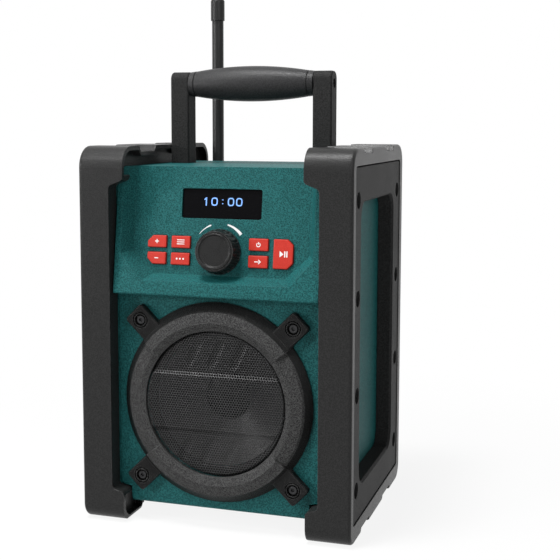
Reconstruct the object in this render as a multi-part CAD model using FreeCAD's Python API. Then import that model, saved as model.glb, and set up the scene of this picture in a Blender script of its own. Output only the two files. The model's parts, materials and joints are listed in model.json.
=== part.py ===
# Jobsite radio: a speckled green cabinet between two black impact cages, with a bar handle over the top.
# Millimetres, +Z up. The front faces -Y. The origin is on the floor, under the middle of the cages.
import FreeCAD, Part
import math
import os

from FreeCAD import Placement, Rotation, Vector

# Cage outline
CAGE_WIDTH = 210.0
CAGE_DEPTH = 176.0
CAGE_HEIGHT = 285.0
CAGE_FRONT_TOP_R = 16.0
CAGE_REAR_TOP_R = 15.0
CAGE_FRONT_FOOT_R = 12.5
CAGE_REAR_FOOT_R = 13.5
CAGE_EDGE_R = 2.5
STRIP_WIDTH = 24.4
ARM_REACH_TOP = 35.7
ARM_REACH_FOOT = 33.8
WEB_REACH = 29.0
ARM_HEIGHT_TOP = 24.7
ARM_HEIGHT_FOOT = 24.2
SHELF_DROP_TOP = 4.4
SHELF_RISE_FOOT = 2.2
ARM_CORNER_R = 3.5
FOOT_CORNER_R = 3.0
ARM_DEPTH_FOOT = 37.0
CAGE_WALL = 5.0
ARM_WALL = 3.4
FLANGE_WALL = 3.9
GROOVE_DEPTH = 4.5
GROOVE_SLOPE = 3.5
GROOVE_FRONT_START = 31.0
GROOVE_FRONT_WIDTH = 32.0
GROOVE_REAR_START = 37.0
GROOVE_REAR_WIDTH = 33.0
RAIL_HOLLOW = 12.0

# Side plates
PLATE_THICKNESS = 12.7
PLATE_SET_IN = 0.5
PLATE_GAP = 0.8
PLATE_BEVEL = 0.6
PLATE_MARGIN_FRONT = 8.0
PLATE_MARGIN_REAR = 11.0
PLATE_MARGIN_TOP = 12.5
PLATE_MARGIN_FOOT = 13.5
PLATE_CORNER_R = 4.0
WINDOW_FRONT_POST = 19.0
WINDOW_REAR_POST = 24.0
WINDOW_TOP_BAR = 26.0
WINDOW_FOOT_BAR = 24.0
WINDOW_R = 13.0
WINDOW_BEVEL = 1.6
SIDE_SCREW_EDGE = 10.5
SIDE_SCREW_FOOT = 24.3
SIDE_SCREW_TOP = 24.4
SIDE_SCREW_COUNT = 4
SIDE_SCREW_LENGTH = 16.0
SIDE_HEAD_R = 4.4
SIDE_HEAD = 3.2
SIDE_BOSS_GRIP = 2.0
SIDE_RECESS_R = 6.0
SIDE_RECESS_DEPTH = 6.5

# Cabinet
FRONT_SETBACK = 14.0
REAR_SETBACK = 12.0
BELLY_GAP = 14.0
CROWN_GAP = 15.0
SHOULDER_SETBACK = 1.0
NOSE_GAP = 1.4
CAGE_GAP = 0.8
SHELL = 3.0
REAR_SHELL_DEPTH = 18.8
GASKET_THICKNESS = 1.2
GASKET_WIDTH = 1.6
FOOT_NOTCH_GAP = 0.6
FOOT_BEVEL = 2.6
KEEL_GAP = 1.5
BODY_R = 1.5
NOSE_R = 2.0
REAR_TOP_SLOPE = 11.0
REAR_TOP_SLOPE_RUN = 14.0
REAR_SLOPE_WALL = 3.6
VENT_COUNT = 9
VENT_PITCH = 5.0
VENT_HEIGHT = 2.0
VENT_LEFT = 30.0
VENT_RIGHT = 8.0
VENT_TOP_GAP = 1.0

# Control panel
PANEL_HEIGHT = 94.5
PANEL_LIP_OUT = 11.0
PANEL_TILT = 8.0
LIP_R = 1.4
TRAY_DEPTH = 10.6
TRAY_WALL = 6.0
TRAY_LIP = 4.2
TRAY_SHOULDER_V = 30.0
TRAY_CORNER = 17.5
TRAY_FOOT_V = 10.5
TRAY_FLOOR = 2.5

# Display
LENS_WIDTH = 62.0
LENS_HEIGHT = 21.6
LENS_V = 69.6
LENS_THICKNESS = 2.0
LENS_SUNK = 1.3
LENS_FLANGE = 2.0
LENS_FLANGE_THICKNESS = 1.0
LENS_R = 1.6
MODULE_MARGIN = 1.0

# Buttons and knob
BUTTON_WIDTH = 14.9
BUTTON_HEIGHT = 8.9
BUTTON_CHAMFER = 4.2
BUTTON_R = 0.8
BUTTON_PROUD = 1.7
BUTTON_TRAVEL = 1.0
BUTTON_FLANGE = 1.1
BUTTON_FLANGE_THICKNESS = 1.2
BUTTON_STEM_R = 2.0
BUTTON_STEM = 1.8
COLUMN_OUTER_X = 49.4
COLUMN_INNER_X = 30.4
ROW_V = 34.2
ROW_PITCH = 12.5
KNOB_R = 16.8
KNOB_RIM_R = 15.0
KNOB_FACE_R = 12.9
KNOB_HEIGHT = 12.2
KNOB_SKIRT = 1.6
KNOB_RIM_BEVEL = 0.9
KNOB_MOAT = 1.0
KNOB_MOAT_DEPTH = 1.2
KNOB_RING = 0.7
KNOB_DISH = 1.3
KNOB_DISH_WALL = 1.2
KNOB_FLUTES = 24
KNOB_FLUTE_R = 1.25
KNOB_FLUTE_OUT = 0.35
KNOB_LIFT = 0.6
KNOB_SOCKET = 9.0
SHAFT_R = 3.0
SHAFT_GAP = 0.6
SHAFT_FLAT = 1.5
ENCODER_SIZE = 12.0
ENCODER_FLOOR = 1.5
ENCODER_TAIL = 0.5

# Boards
BOARD_THICKNESS = 1.6
CONTROL_BOARD_HALF = 62.0
CONTROL_BOARD_FOOT_V = 17.0
CONTROL_BOARD_TOP_V = 82.0
SWITCH_SIZE = 6.0
SWITCH_HEIGHT = 1.4
PLUNGER_R = 1.6
PLUNGER_HEIGHT = 0.7
CHIPS = ((-20.0, 24.0, 12.0, 12.0, 1.4), (16.0, 50.0, 18.0, 10.0, 1.6), (-44.0, 60.0, 10.0, 14.0, 6.0))
BOARD_SCREW_INSET = 4.0
BOARD_SCREW_R = 1.2
BOARD_HEAD_R = 2.4
BOARD_HEAD = 1.6
BOARD_SCREW_LENGTH = 5.6
BOARD_POST_R = 3.0
BOARD_PILOT = 6.5
MAIN_BOARD_HALF = 56.0
MAIN_BOARD_Z = 140.0
MAIN_BOARD_HEIGHT = 92.0
MAIN_BOARD_STANDOFF = 20.0
CAN_R = 4.0
CAN_HEIGHT = 14.0
CAN_COUNT = 4
CAN_PITCH = 11.0
CAN_X = -38.0
CAN_Z = 18.0
MAIN_CHIPS = ((10.0, 50.0, 14.0, 14.0, 2.0), (-30.0, 56.0, 26.0, 24.0, 5.0))
SINK_X = 20.0
SINK_Z = 8.0
SINK_SIDE = 30.0
SINK_PLATE = 3.0
SINK_DEPTH = 16.0
SINK_FINS = 8
SINK_FIN = 1.4
SINK_PITCH = 4.0

# Speaker
SPEAKER_LIFT = 1.25
RING_END_GAP = 7.15
RING_SIDE_GAP = 5.6
RING_EDGE = 1.6
RING_SLOPE = 6.4
RING_FACE = 8.0
RING_WIDTH = 18.8
RING_HEIGHT = 9.0
RING_FACE_FALL = 1.8
RING_REBATE = 2.0
RING_REBATE_GAP = 0.2
ARC_PROUD = 1.7
ARC_SPAN = 104.0
LUG_OUT = 10.6
LUG_ROOT = 6.5
LUG_WIDTH = 17.5
LUG_REACH = 8.8
LUG_THICKNESS = 6.0
LUG_R = 2.5
LUG_BEVEL = 0.8
COUNTERBORE_R = 4.4
COUNTERBORE_DEPTH = 3.6
SLEEVE_R = 5.1
SLEEVE_MOAT_R = 6.1
SLEEVE_MOAT_DEPTH = 1.8
GRILLE_THICKNESS = 1.0
GRILLE_STEP = 2.0
GRILLE_BAND = 40.0
GRILLE_SLOPE = 2.5
GRILLE_SET_IN = 5.8
GRILLE_GAP = 0.4
CONE_EDGE = 5.5
CONE_SET_IN = 1.0
CONE_DEPTH = 20.0
CONE_WALL = 0.8
SURROUND_LAP = 0.5
SURROUND_GAP = 0.1
SURROUND_ROLL = 2.2
SPEAKER_HOLE = 3.0
BASKET_RIM = 11.2
BASKET_FLANGE = 2.0
BASKET_WALL = 1.6
BASKET_DEPTH = 28.0
BASKET_BASE_R = 31.0
BASKET_HUB = 4.0
BASKET_WINDOWS = 6
BASKET_WINDOW_START = 20.0
BASKET_WINDOW_FOOT = 8.0
BASKET_WINDOW_TOP = 20.0
BASKET_WINDOW_TURN = 30.0
BASKET_BAND = 3.0
CAP_LAP = 4.0
CAP_RISE = 6.0
CAP_WALL = 0.7
COIL_R = 13.0
COIL_WALL = 0.7
COIL_GAP = 0.6
COIL_LENGTH = 16.0
COIL_LAP = 1.0
MAGNET_R = 38.0
MAGNET_BORE = 6.0
MAGNET_THICKNESS = 14.0
POLE_PLATE_R = 35.0
POLE_PLATE_THICKNESS = 5.0
SPIDER_THICKNESS = 0.8
SPIDER_INNER_GAP = 0.5
SPIDER_OUTER_GAP = 0.2
SPEAKER_SCREW_INSET = 3.2
SPEAKER_SCREW_R = 1.4
SPEAKER_SCREW_LENGTH = 4.0
SPEAKER_PILOT = 5.5
SPEAKER_HEAD_R = 2.4
SPEAKER_HEAD = 1.8

# Handle
HANDLE_CAGE_GAP = 2.7
HANDLE_ARM_WIDTH = 15.3
HANDLE_ARM_DEPTH = 16.8
HANDLE_ARM_Y = 6.1
HANDLE_RISE = 72.5
HANDLE_CROWN_R = 6.0
HANDLE_EDGE_R = 1.6
GRIP_DROP = 9.5
GRIP_MID_R = 13.9
GRIP_END_R = 9.6
GRIP_COLLAR = 5.0
GRIP_COLLAR_RISE = 0.5
GRIP_SEAM = 0.7
GRIP_BOLT_R = 2.5
GRIP_BOLT_LENGTH = 28.0
GRIP_RECESS_R = 3.8
GRIP_RECESS_DEPTH = 4.0
GRIP_HEAD_R = 3.5
GRIP_HEAD = 2.6
BASE_BOLT_R = 3.0
BASE_BOLT_LENGTH = 24.0
BASE_HEAD_R = 5.5
BASE_HEAD = 4.0

# Antenna
ANTENNA_SIDE_GAP = 23.2
ANTENNA_Y_INSET = 9.0
ANTENNA_POCKET_HALF = 15.0
ANTENNA_POCKET_DEPTH = 24.0
ANTENNA_POCKET_WALL = 2.5
ANTENNA_PIN_HEIGHT = 10.0
ANTENNA_PIN_R = 1.5
ANTENNA_ROD_R = 4.9
ANTENNA_CAP_R = 5.85
ANTENNA_CAP_LENGTH = 18.4
ANTENNA_CAP_ROUND = 2.6
ANTENNA_RISE = 137.0
KNUCKLE_HALF = 3.0
KNUCKLE_R = 4.4
KNUCKLE_REACH = 6.6
KNUCKLE_FLAT = 1.0
EAR_THICKNESS = 2.5
EAR_GAP = 0.2
EAR_R = 5.0
ANTENNA_DISC_R = 7.0
ANTENNA_DISC = 3.0

# Battery bay
CELL_R = 13.1
CELL_LENGTH = 50.0
CELL_GAP = 1.2
CELL_ROWS = 3
CELL_NUB_R = 3.2
CELL_NUB = 1.4
CELL_END_GAP = 0.2
BAY_FOOT_Z = 38.0
BAY_END_SPACE = 5.0
BAY_WALL = 2.0
DOOR_THICKNESS = 2.5
DOOR_GAP = 0.4
DOOR_R = 2.0
PULL_HALF = 12.0
PULL_PROUD = 1.2
PULL_HEIGHT = 3.0
PULL_DROP = 6.0
STRAP_RISE = 7.0
STRAP_TOP = 9.0
STRAP_LAP = 0.5
HINGE_R = 2.6
HINGE_GAP = 0.3
HINGE_PIN_R = 1.2
HINGE_DROP = 2.4
HINGE_LUG = 8.0
HINGE_KNUCKLE = 12.0
HINGE_SPREAD = 49.0
CONTACT_THICKNESS = 0.6
CONTACT_HALF = 8.0
SPRING_R = 5.0
SPRING_WALL = 1.0
SPRING_LENGTH = 3.8

# Sockets and their flap
PORT_X = 37.0
PORT_Z = 161.0
PORT_WIDTH = 30.0
PORT_HEIGHT = 16.0
PORT_DEPTH = 8.0
PORT_WALL = 2.0
FLAP_MARGIN = 3.0
FLAP_GAP = 0.2
FLAP_FOOT_R = 1.0
FLAP_TOP_R = 3.0
FLAP_TAB_HALF = 6.0
FLAP_TAB = 3.0
FLAP_THICKNESS = 2.2
FLAP_PIN_R = 0.8
FLAP_BARREL_R = 1.7
FLAP_LUG = 2.5
SOCKET_SET_IN = 2.0
SOCKET_PAST = 2.0
SOCKET_BACK = 4.0
POWER_SOCKET_R = 4.6
POWER_BORE_R = 3.1
POWER_PIN_R = 1.05
POWER_PIN_SET_IN = 0.8
POWER_BACK_HALF = 4.5
POWER_BACK_TALL = 5.5
AUX_SOCKET_R = 3.6
AUX_BORE_R = 1.8
AUX_BACK_HALF = 4.0
AUX_BACK_TALL = 5.0

# Screws and fits
SCREW_R = 2.0
RING_HEAD_R = 3.0
RING_SCREW_LENGTH = 13.0
RING_PILOT = 17.0
RING_BOSS_R = 5.0
SCREW_HEAD_R = 3.6
SCREW_HEAD = 2.6
BOSS_R = 4.5
REAR_SCREW_SIDE = 20.0
REAR_SCREW_FOOT = 46.0
REAR_SCREW_TOP = 34.0
REAR_BOSS_LENGTH = 26.0
REAR_BOSS_WALL = 1.2
REAR_RECESS = 9.0
REAR_PILOT_SHORT = 3.0
RIB = 2.5
LAP = 0.5
PAST = 1.0
FIT = 0.3
THREAD_GAP = 0.05
RUNNING_GAP = 0.05

# Derived planes
half_width = CAGE_WIDTH / 2
front_y = -CAGE_DEPTH / 2
rear_y = CAGE_DEPTH / 2
strip_x = half_width - STRIP_WIDTH
arm_top_x = half_width - ARM_REACH_TOP
arm_foot_x = half_width - ARM_REACH_FOOT
web_x = half_width - WEB_REACH
plate_x = half_width - PLATE_THICKNESS
side_face_x = half_width - PLATE_SET_IN
side_head_x = side_face_x - SIDE_RECESS_DEPTH
side_screw_end_x = side_head_x - SIDE_SCREW_LENGTH
body_half = plate_x - FIT
nose_half = strip_x - NOSE_GAP
crown_half = web_x - CAGE_GAP
face_y = front_y + FRONT_SETBACK
back_y = rear_y - REAR_SETBACK
shoulder_y = face_y + SHOULDER_SETBACK
rear_shell_y = back_y - REAR_SHELL_DEPTH
seam_y = rear_shell_y - GASKET_THICKNESS
inner_face_y = shoulder_y + SHELL
belly_z = BELLY_GAP
crown_z = CAGE_HEIGHT - CROWN_GAP
arm_top_z = CAGE_HEIGHT - ARM_HEIGHT_TOP
arm_foot_z = ARM_HEIGHT_FOOT
shelf_z = arm_top_z - SHELF_DROP_TOP
step_z = arm_foot_z + SHELF_RISE_FOOT
foot_half = arm_foot_x - FOOT_NOTCH_GAP
side_screw_z = PLATE_MARGIN_FOOT + SIDE_SCREW_FOOT
side_screw_span = CAGE_HEIGHT - PLATE_MARGIN_TOP - SIDE_SCREW_TOP - side_screw_z
rear_screw_x = body_half - REAR_SCREW_SIDE
rear_screw_low = belly_z + REAR_SCREW_FOOT
rear_screw_high = crown_z - REAR_SCREW_TOP

# Derived control panel, with levels measured out of it
lip_z = crown_z - PANEL_HEIGHT
lip_y = face_y - PANEL_LIP_OUT
tilt = math.radians(PANEL_TILT)
panel_place = Placement(Vector(0, lip_y, lip_z), Rotation(Vector(1, 0, 0), 90 - PANEL_TILT))
panel_top_v = PANEL_HEIGHT / math.cos(tilt)
tray_half = nose_half - TRAY_LIP
tray_foot_half = tray_half - TRAY_CORNER
tray_floor_n = -TRAY_DEPTH
tray_back_n = tray_floor_n - TRAY_FLOOR
flange_n = tray_back_n - FIT / 2
stem_end_n = flange_n - BUTTON_FLANGE_THICKNESS - BUTTON_STEM
switch_top_n = stem_end_n - BUTTON_TRAVEL - FIT / 2 - PLUNGER_HEIGHT
board_top_n = switch_top_n - SWITCH_HEIGHT
board_back_n = board_top_n - BOARD_THICKNESS

# Derived speaker: the largest ring that the front has room for
ring_r = min((lip_z - belly_z) / 2 - RING_END_GAP, nose_half - RING_SIDE_GAP)
speaker_z = (lip_z + belly_z) / 2 + SPEAKER_LIFT
ring_face_r = ring_r - RING_SLOPE
ring_lip_r = ring_face_r - RING_FACE
ring_bore_r = ring_r - RING_WIDTH
ring_crest_y = face_y - RING_HEIGHT
ring_head_y = face_y - LUG_THICKNESS + COUNTERBORE_DEPTH
lug_radius = ring_r + LUG_OUT
grille_y = face_y - GRILLE_SET_IN
speaker_hole_r = ring_bore_r + SPEAKER_HOLE
basket_flange_r = ring_bore_r + BASKET_RIM
basket_y = inner_face_y
basket_floor_y = basket_y + BASKET_DEPTH
cone_r = ring_bore_r - CONE_EDGE
cone_rim_y = basket_y + CONE_SET_IN
cone_neck_y = cone_rim_y + CONE_DEPTH
magnet_y = basket_floor_y + POLE_PLATE_THICKNESS
magnet_back_y = magnet_y + MAGNET_THICKNESS
pole_r = COIL_R - COIL_GAP

# Derived handle and antenna
handle_inner = arm_top_x - HANDLE_CAGE_GAP - HANDLE_ARM_WIDTH
handle_top_z = crown_z + HANDLE_RISE
grip_z = handle_top_z - GRIP_DROP
antenna_x = ANTENNA_SIDE_GAP - crown_half
antenna_y = back_y - ANTENNA_Y_INSET
antenna_floor_z = crown_z - ANTENNA_POCKET_DEPTH
antenna_pin_z = antenna_floor_z + ANTENNA_PIN_HEIGHT
antenna_tip_z = crown_z + ANTENNA_RISE
rod_start_z = antenna_pin_z + KNUCKLE_REACH
cap_start_z = antenna_tip_z - ANTENNA_CAP_LENGTH
ear_inner = KNUCKLE_HALF + EAR_GAP

# Derived rear: battery bay, sockets and main board
bay_half = CELL_LENGTH + BAY_END_SPACE
bay_top_z = BAY_FOOT_Z + CELL_ROWS * (2 * CELL_R + CELL_GAP) + CELL_GAP
bay_floor_y = back_y - DOOR_THICKNESS - 2 * CELL_R - 2 * CELL_GAP
hinge_y = back_y + HINGE_R + HINGE_GAP
hinge_z = BAY_FOOT_Z - HINGE_DROP
flap_foot_z = PORT_Z - PORT_HEIGHT / 2 - FLAP_MARGIN
flap_pin_y = back_y + FLAP_BARREL_R + HINGE_GAP
flap_pin_z = flap_foot_z - FLAP_BARREL_R + FLAP_GAP
flap_half = PORT_WIDTH / 2 + FLAP_MARGIN
power_socket_x = PORT_X - PORT_WIDTH / 4
aux_socket_x = PORT_X + PORT_WIDTH / 4
socket_y = back_y - SOCKET_SET_IN
main_board_y = back_y - SHELL - MAIN_BOARD_STANDOFF - BOARD_THICKNESS

nodes = {}


# Shape helpers
def box(x0, x1, y0, y1, z0, z1):
    return Part.makeBox(x1 - x0, y1 - y0, z1 - z0, Vector(x0, y0, z0))


def rod(radius, start, direction, length):
    return Part.makeCylinder(radius, length, Vector(*start), Vector(*direction))


def tube(outer, inner, start, direction, length):
    return rod(outer, start, direction, length).cut(rod(inner, start, direction, length))


def fuse(shapes):
    result = shapes[0]
    if len(shapes) > 1:
        result = shapes[0].multiFuse(list(shapes[1:]))
    return result.removeSplitter()


def cut(shape, tools):
    return shape.cut(list(tools)).removeSplitter()


def on_x(point, level):
    return Vector(level, point[0], point[1])


def on_y(point, level):
    return Vector(point[0], level, point[1])


def on_z(point, level):
    return Vector(point[0], point[1], level)


def rounded_wire(points, radii, lift):
    """Closed outline with each corner of the given radius; lift turns a 2-D point into a Vector."""
    count = len(points)
    corners = []
    for i in range(count):
        here = Vector(points[i][0], points[i][1], 0)
        before = Vector(points[i - 1][0], points[i - 1][1], 0) - here
        after = Vector(points[(i + 1) % count][0], points[(i + 1) % count][1], 0) - here
        before.normalize()
        after.normalize()
        radius = radii[i]
        if radius == 0:
            corners.append((here, None, here))
            continue
        half = before.getAngle(after) / 2
        reach = radius / math.tan(half)
        middle = before + after
        middle.normalize()
        crown = here + middle * (radius / math.sin(half) - radius)
        corners.append((here + before * reach, crown, here + after * reach))
    edges = []
    for i in range(count):
        start, crown, end = corners[i]
        if crown is not None:
            edges.append(Part.Arc(lift(start), lift(crown), lift(end)).toShape())
        following = corners[(i + 1) % count][0]
        if (following - end).Length > 1e-6:
            edges.append(Part.LineSegment(lift(end), lift(following)).toShape())
    return Part.Wire(edges)


def prism(points, radii, axis, low, high):
    """Outline extruded along X, Y or Z between two levels."""
    if not isinstance(radii, (list, tuple)):
        radii = [radii] * len(points)
    place = {"x": on_x, "y": on_y, "z": on_z}[axis]
    way = {"x": Vector(1, 0, 0), "y": Vector(0, 1, 0), "z": Vector(0, 0, 1)}[axis]
    wire = rounded_wire(points, radii, lambda p: place((p.x, p.y), low))
    return Part.Face(wire).extrude(way * (high - low))


def rectangle(x0, x1, y0, y1):
    return [(x0, y0), (x1, y0), (x1, y1), (x0, y1)]


def revolve(points, origin, axis, radial, angle=360.0):
    """Solid of revolution from (radius, along) points about an axis through the origin."""
    base = Vector(*origin)
    along = Vector(*axis)
    out = Vector(*radial)
    path = [base + out * r + along * a for r, a in points]
    face = Part.Face(Part.makePolygon(path + [path[0]]))
    return face.revolve(base, along, angle)


def mirror_x(shape):
    return shape.mirror(Vector(0, 0, 0), Vector(1, 0, 0))


def on_panel(shape):
    """Places a shape drawn with X across, Y up the panel and Z out of it."""
    placed = shape.copy()
    placed.Placement = panel_place.multiply(placed.Placement)
    return placed


def round_edges(shape, radius, choose):
    """Fillets the edges that the test picks, limited by the shape's own size."""
    picked = [e for e in shape.Edges if choose(e)]
    return shape.makeFillet(radius, picked)


def screw(head_at, direction, length, shank_r, head_r, head_height):
    """Hex-socket screw: the head's underside is at head_at and the shank runs along direction."""
    way = Vector(*direction)
    under = Vector(*head_at)
    head = Part.makeCylinder(head_r, head_height, under - way * head_height, way)
    shank = Part.makeCylinder(shank_r, length, under, way)
    turn = Rotation(Vector(0, 0, 1), way)
    key_r = head_r / 2
    angles = [math.radians(60 * k) for k in range(7)]
    corners = [Vector(key_r * math.cos(a), key_r * math.sin(a), 0) for a in angles]
    top = under - way * head_height
    hexagon = Part.makePolygon([top + turn.multVec(c) for c in corners])
    socket = Part.Face(hexagon).extrude(way * (head_height * 0.6))
    return fuse([head, shank]).cut(socket)


def add(name, shape):
    nodes[name] = shape


# Outlines shared by the cabinet and the cages
def body_outline(half_side, inset):
    """Cabinet section across the width: wide sides, with stepped corners that the cage rails fill."""
    crown = crown_half - inset
    side = half_side - inset
    foot = foot_half - inset
    low = belly_z + inset
    high = crown_z - inset
    notch_top = arm_top_z - CAGE_GAP / 2 - inset
    notch_foot = step_z + inset
    right = [(foot, low), (foot, notch_foot), (side, notch_foot), (side, notch_top),
             (crown, notch_top), (crown, high)]
    left = [(-x, z) for x, z in reversed(right)]
    return right + left


def side_outline(inset=0.0):
    """Cage outline seen from the side, drawn in by inset."""
    points = [(front_y + inset, inset), (front_y + inset, CAGE_HEIGHT - inset),
              (rear_y - inset, CAGE_HEIGHT - inset), (rear_y - inset, inset)]
    radii = [CAGE_FRONT_FOOT_R, CAGE_FRONT_TOP_R, CAGE_REAR_TOP_R, CAGE_REAR_FOOT_R]
    return points, [r - inset for r in radii]


def grooves(drop=0.0):
    """The two cross grooves over the top and the two under the feet."""
    tools = []
    starts = ((front_y + GROOVE_FRONT_START, GROOVE_FRONT_WIDTH),
              (rear_y - GROOVE_REAR_START - GROOVE_REAR_WIDTH, GROOVE_REAR_WIDTH))
    for start, width in starts:
        floor_half = width / 2 - GROOVE_SLOPE
        middle = start + width / 2
        slope = GROOVE_SLOPE / GROOVE_DEPTH
        over = 10.0
        top = [(middle - floor_half, CAGE_HEIGHT - GROOVE_DEPTH - drop),
               (middle + floor_half, CAGE_HEIGHT - GROOVE_DEPTH - drop),
               (middle + width / 2 + over * slope, CAGE_HEIGHT + over - drop),
               (middle - width / 2 - over * slope, CAGE_HEIGHT + over - drop)]
        tools.append(prism(top, 0, "x", 0, half_width + over))
        if drop == 0:
            foot = [(y, CAGE_HEIGHT - z) for y, z in reversed(top)]
            tools.append(prism(foot, 0, "x", 0, half_width + over))
    return tools


# Cage: one moulded guard on each side
def arm_hollows():
    """The room inside the hooked arms at the top and in the two feet, open towards the cabinet."""
    outline, radii = side_outline(ARM_WALL)
    inner_x = arm_top_x - CAGE_WALL
    inside = prism(outline, radii, "x", inner_x, web_x).cut(grooves(ARM_WALL))
    top = inside.common(box(inner_x, web_x, front_y, rear_y, arm_top_z + ARM_WALL, CAGE_HEIGHT))
    made = [top]
    foot_top = arm_foot_z - ARM_WALL
    foot_x = strip_x - ARM_WALL
    for y0, y1 in ((front_y, front_y + ARM_DEPTH_FOOT - ARM_WALL), (rear_y - ARM_DEPTH_FOOT + ARM_WALL, rear_y)):
        room = prism(outline, radii, "x", inner_x, foot_x)
        made.append(room.common(box(inner_x, foot_x, y0, y1, 0, foot_top)))
    return made


def cage_rim():
    outline, radii = side_outline()
    block = prism(outline, radii, "x", arm_top_x, half_width)
    block = round_edges(block, CAGE_EDGE_R, lambda e: e.BoundBox.XMin > half_width - 1e-3)
    wide = 2 * half_width
    tall = 2 * CAGE_HEIGHT
    front_view = [(arm_foot_x, 0), (arm_foot_x, arm_foot_z), (strip_x, step_z),
                  (strip_x, shelf_z), (arm_top_x, arm_top_z), (arm_top_x, tall),
                  (wide, tall), (wide, 0)]
    corner = [FOOT_CORNER_R, ARM_CORNER_R, ARM_CORNER_R, ARM_CORNER_R, ARM_CORNER_R, 0, 0, 0]
    guard = block.common(prism(front_view, corner, "y", front_y, rear_y))
    inside_front = face_y - FIT
    inside_rear = back_y + FIT
    rail_foot = step_z - CAGE_GAP
    under_arm = arm_top_x - CAGE_WALL
    foot_front = front_y + ARM_DEPTH_FOOT
    foot_rear = rear_y - ARM_DEPTH_FOOT
    crown_top = crown_z + FIT
    tools = [
        box(under_arm, plate_x, inside_front, inside_rear, rail_foot, arm_top_z),
        box(under_arm, web_x, inside_front, inside_rear, shelf_z, crown_top),
        box(under_arm, strip_x, foot_front, foot_rear, -PAST, step_z),
        box(strip_x + FLANGE_WALL, plate_x, front_y + CAGE_WALL, inside_front, step_z, shelf_z),
        box(strip_x + FLANGE_WALL, plate_x, inside_rear, rear_y - CAGE_WALL, step_z, shelf_z),
    ]
    pocket_y0 = front_y + PLATE_MARGIN_FRONT
    pocket_y1 = rear_y - PLATE_MARGIN_REAR
    pocket_top = CAGE_HEIGHT - PLATE_MARGIN_TOP
    pocket = rectangle(pocket_y0, pocket_y1, PLATE_MARGIN_FOOT, pocket_top)
    tools.append(prism(pocket, PLATE_CORNER_R, "x", plate_x, half_width + PAST))
    hollow_y0 = pocket_y0 + CAGE_WALL
    hollow_y1 = pocket_y1 - CAGE_WALL
    hollow_x = plate_x - RAIL_HOLLOW
    tools.append(box(hollow_x, plate_x, hollow_y0, hollow_y1, arm_top_z + CAGE_WALL, pocket_top))
    tools.append(box(hollow_x, plate_x, hollow_y0, hollow_y1, PLATE_MARGIN_FOOT, rail_foot - CAGE_WALL))
    return cut(guard, tools + arm_hollows() + grooves())


def side_screw_places():
    for y in (front_y + PLATE_MARGIN_FRONT + SIDE_SCREW_EDGE,
              rear_y - PLATE_MARGIN_REAR - SIDE_SCREW_EDGE):
        for k in range(SIDE_SCREW_COUNT):
            yield y, side_screw_z + side_screw_span * k / (SIDE_SCREW_COUNT - 1)


def side_plate():
    y0 = front_y + PLATE_MARGIN_FRONT + PLATE_GAP
    y1 = rear_y - PLATE_MARGIN_REAR - PLATE_GAP
    z0 = PLATE_MARGIN_FOOT + PLATE_GAP
    z1 = CAGE_HEIGHT - PLATE_MARGIN_TOP - PLATE_GAP
    plate = prism(rectangle(y0, y1, z0, z1), PLATE_CORNER_R - PLATE_GAP, "x", plate_x, side_face_x)
    rim = [e for e in plate.Edges if e.BoundBox.XMin > side_face_x - 1e-3]
    plate = plate.makeChamfer(PLATE_BEVEL, rim)
    w0 = y0 + WINDOW_FRONT_POST
    w1 = y1 - WINDOW_REAR_POST
    w2 = z0 + WINDOW_FOOT_BAR
    w3 = z1 - WINDOW_TOP_BAR
    window = rectangle(w0, w1, w2, w3)
    opening = prism(window, WINDOW_R, "x", plate_x - PAST, side_face_x + PAST)
    grow = WINDOW_BEVEL
    outer = rectangle(w0 - grow, w1 + grow, w2 - grow, w3 + grow)
    small = rounded_wire(window, [WINDOW_R] * 4, lambda p: Vector(side_face_x - grow, p.x, p.y))
    wide = rounded_wire(outer, [WINDOW_R + grow] * 4, lambda p: Vector(side_face_x, p.x, p.y))
    tools = [opening, Part.makeLoft([small, wide], True, True)]
    for y, z in side_screw_places():
        tools.append(rod(SIDE_RECESS_R, (side_head_x, y, z), (1, 0, 0), 2 * SIDE_RECESS_DEPTH))
        tools.append(rod(SCREW_R + FIT, (plate_x - PAST, y, z), (1, 0, 0), PLATE_THICKNESS))
    return cut(plate, tools)


def side_screws():
    return Part.makeCompound([screw((side_head_x, y, z), (-1, 0, 0), SIDE_SCREW_LENGTH,
                                    SCREW_R, SIDE_HEAD_R, SIDE_HEAD) for y, z in side_screw_places()])


def side_bosses(sign):
    length = body_half - side_screw_end_x + SIDE_BOSS_GRIP
    return [rod(BOSS_R, (sign * body_half, y, z), (-sign, 0, 0), length) for y, z in side_screw_places()]


def side_pilots(sign):
    start = sign * (body_half + PAST)
    length = body_half + PAST - side_screw_end_x + LAP
    return [rod(SCREW_R + THREAD_GAP, (start, y, z), (-sign, 0, 0), length) for y, z in side_screw_places()]


# Cabinet shells
def panel_half_space(level):
    """Everything behind a level measured out of the control panel."""
    reach = 2 * CAGE_HEIGHT
    return on_panel(box(-reach, reach, -reach, reach, level - reach, level))


def tray_points(inset):
    """Outline of the control tray, open past the top edge; inset narrows it towards the floor."""
    top = panel_top_v + 2 * TRAY_DEPTH
    shoulder = TRAY_SHOULDER_V + inset * 0.6
    foot = TRAY_FOOT_V + inset
    right = [(tray_foot_half - inset, foot), (tray_half - inset, shoulder), (tray_half - inset, top)]
    return right + [(-x, v) for x, v in reversed(right)]


def tray_recess():
    slope = TRAY_WALL / TRAY_DEPTH
    upper = [Vector(x, y, SHELL) for x, y in tray_points(-SHELL * slope)]
    lower = [Vector(x, y, tray_floor_n) for x, y in tray_points(TRAY_WALL)]
    wires = [Part.makePolygon(upper + upper[:1]), Part.makePolygon(lower + lower[:1])]
    return on_panel(Part.makeLoft(wires, True, True))


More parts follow.
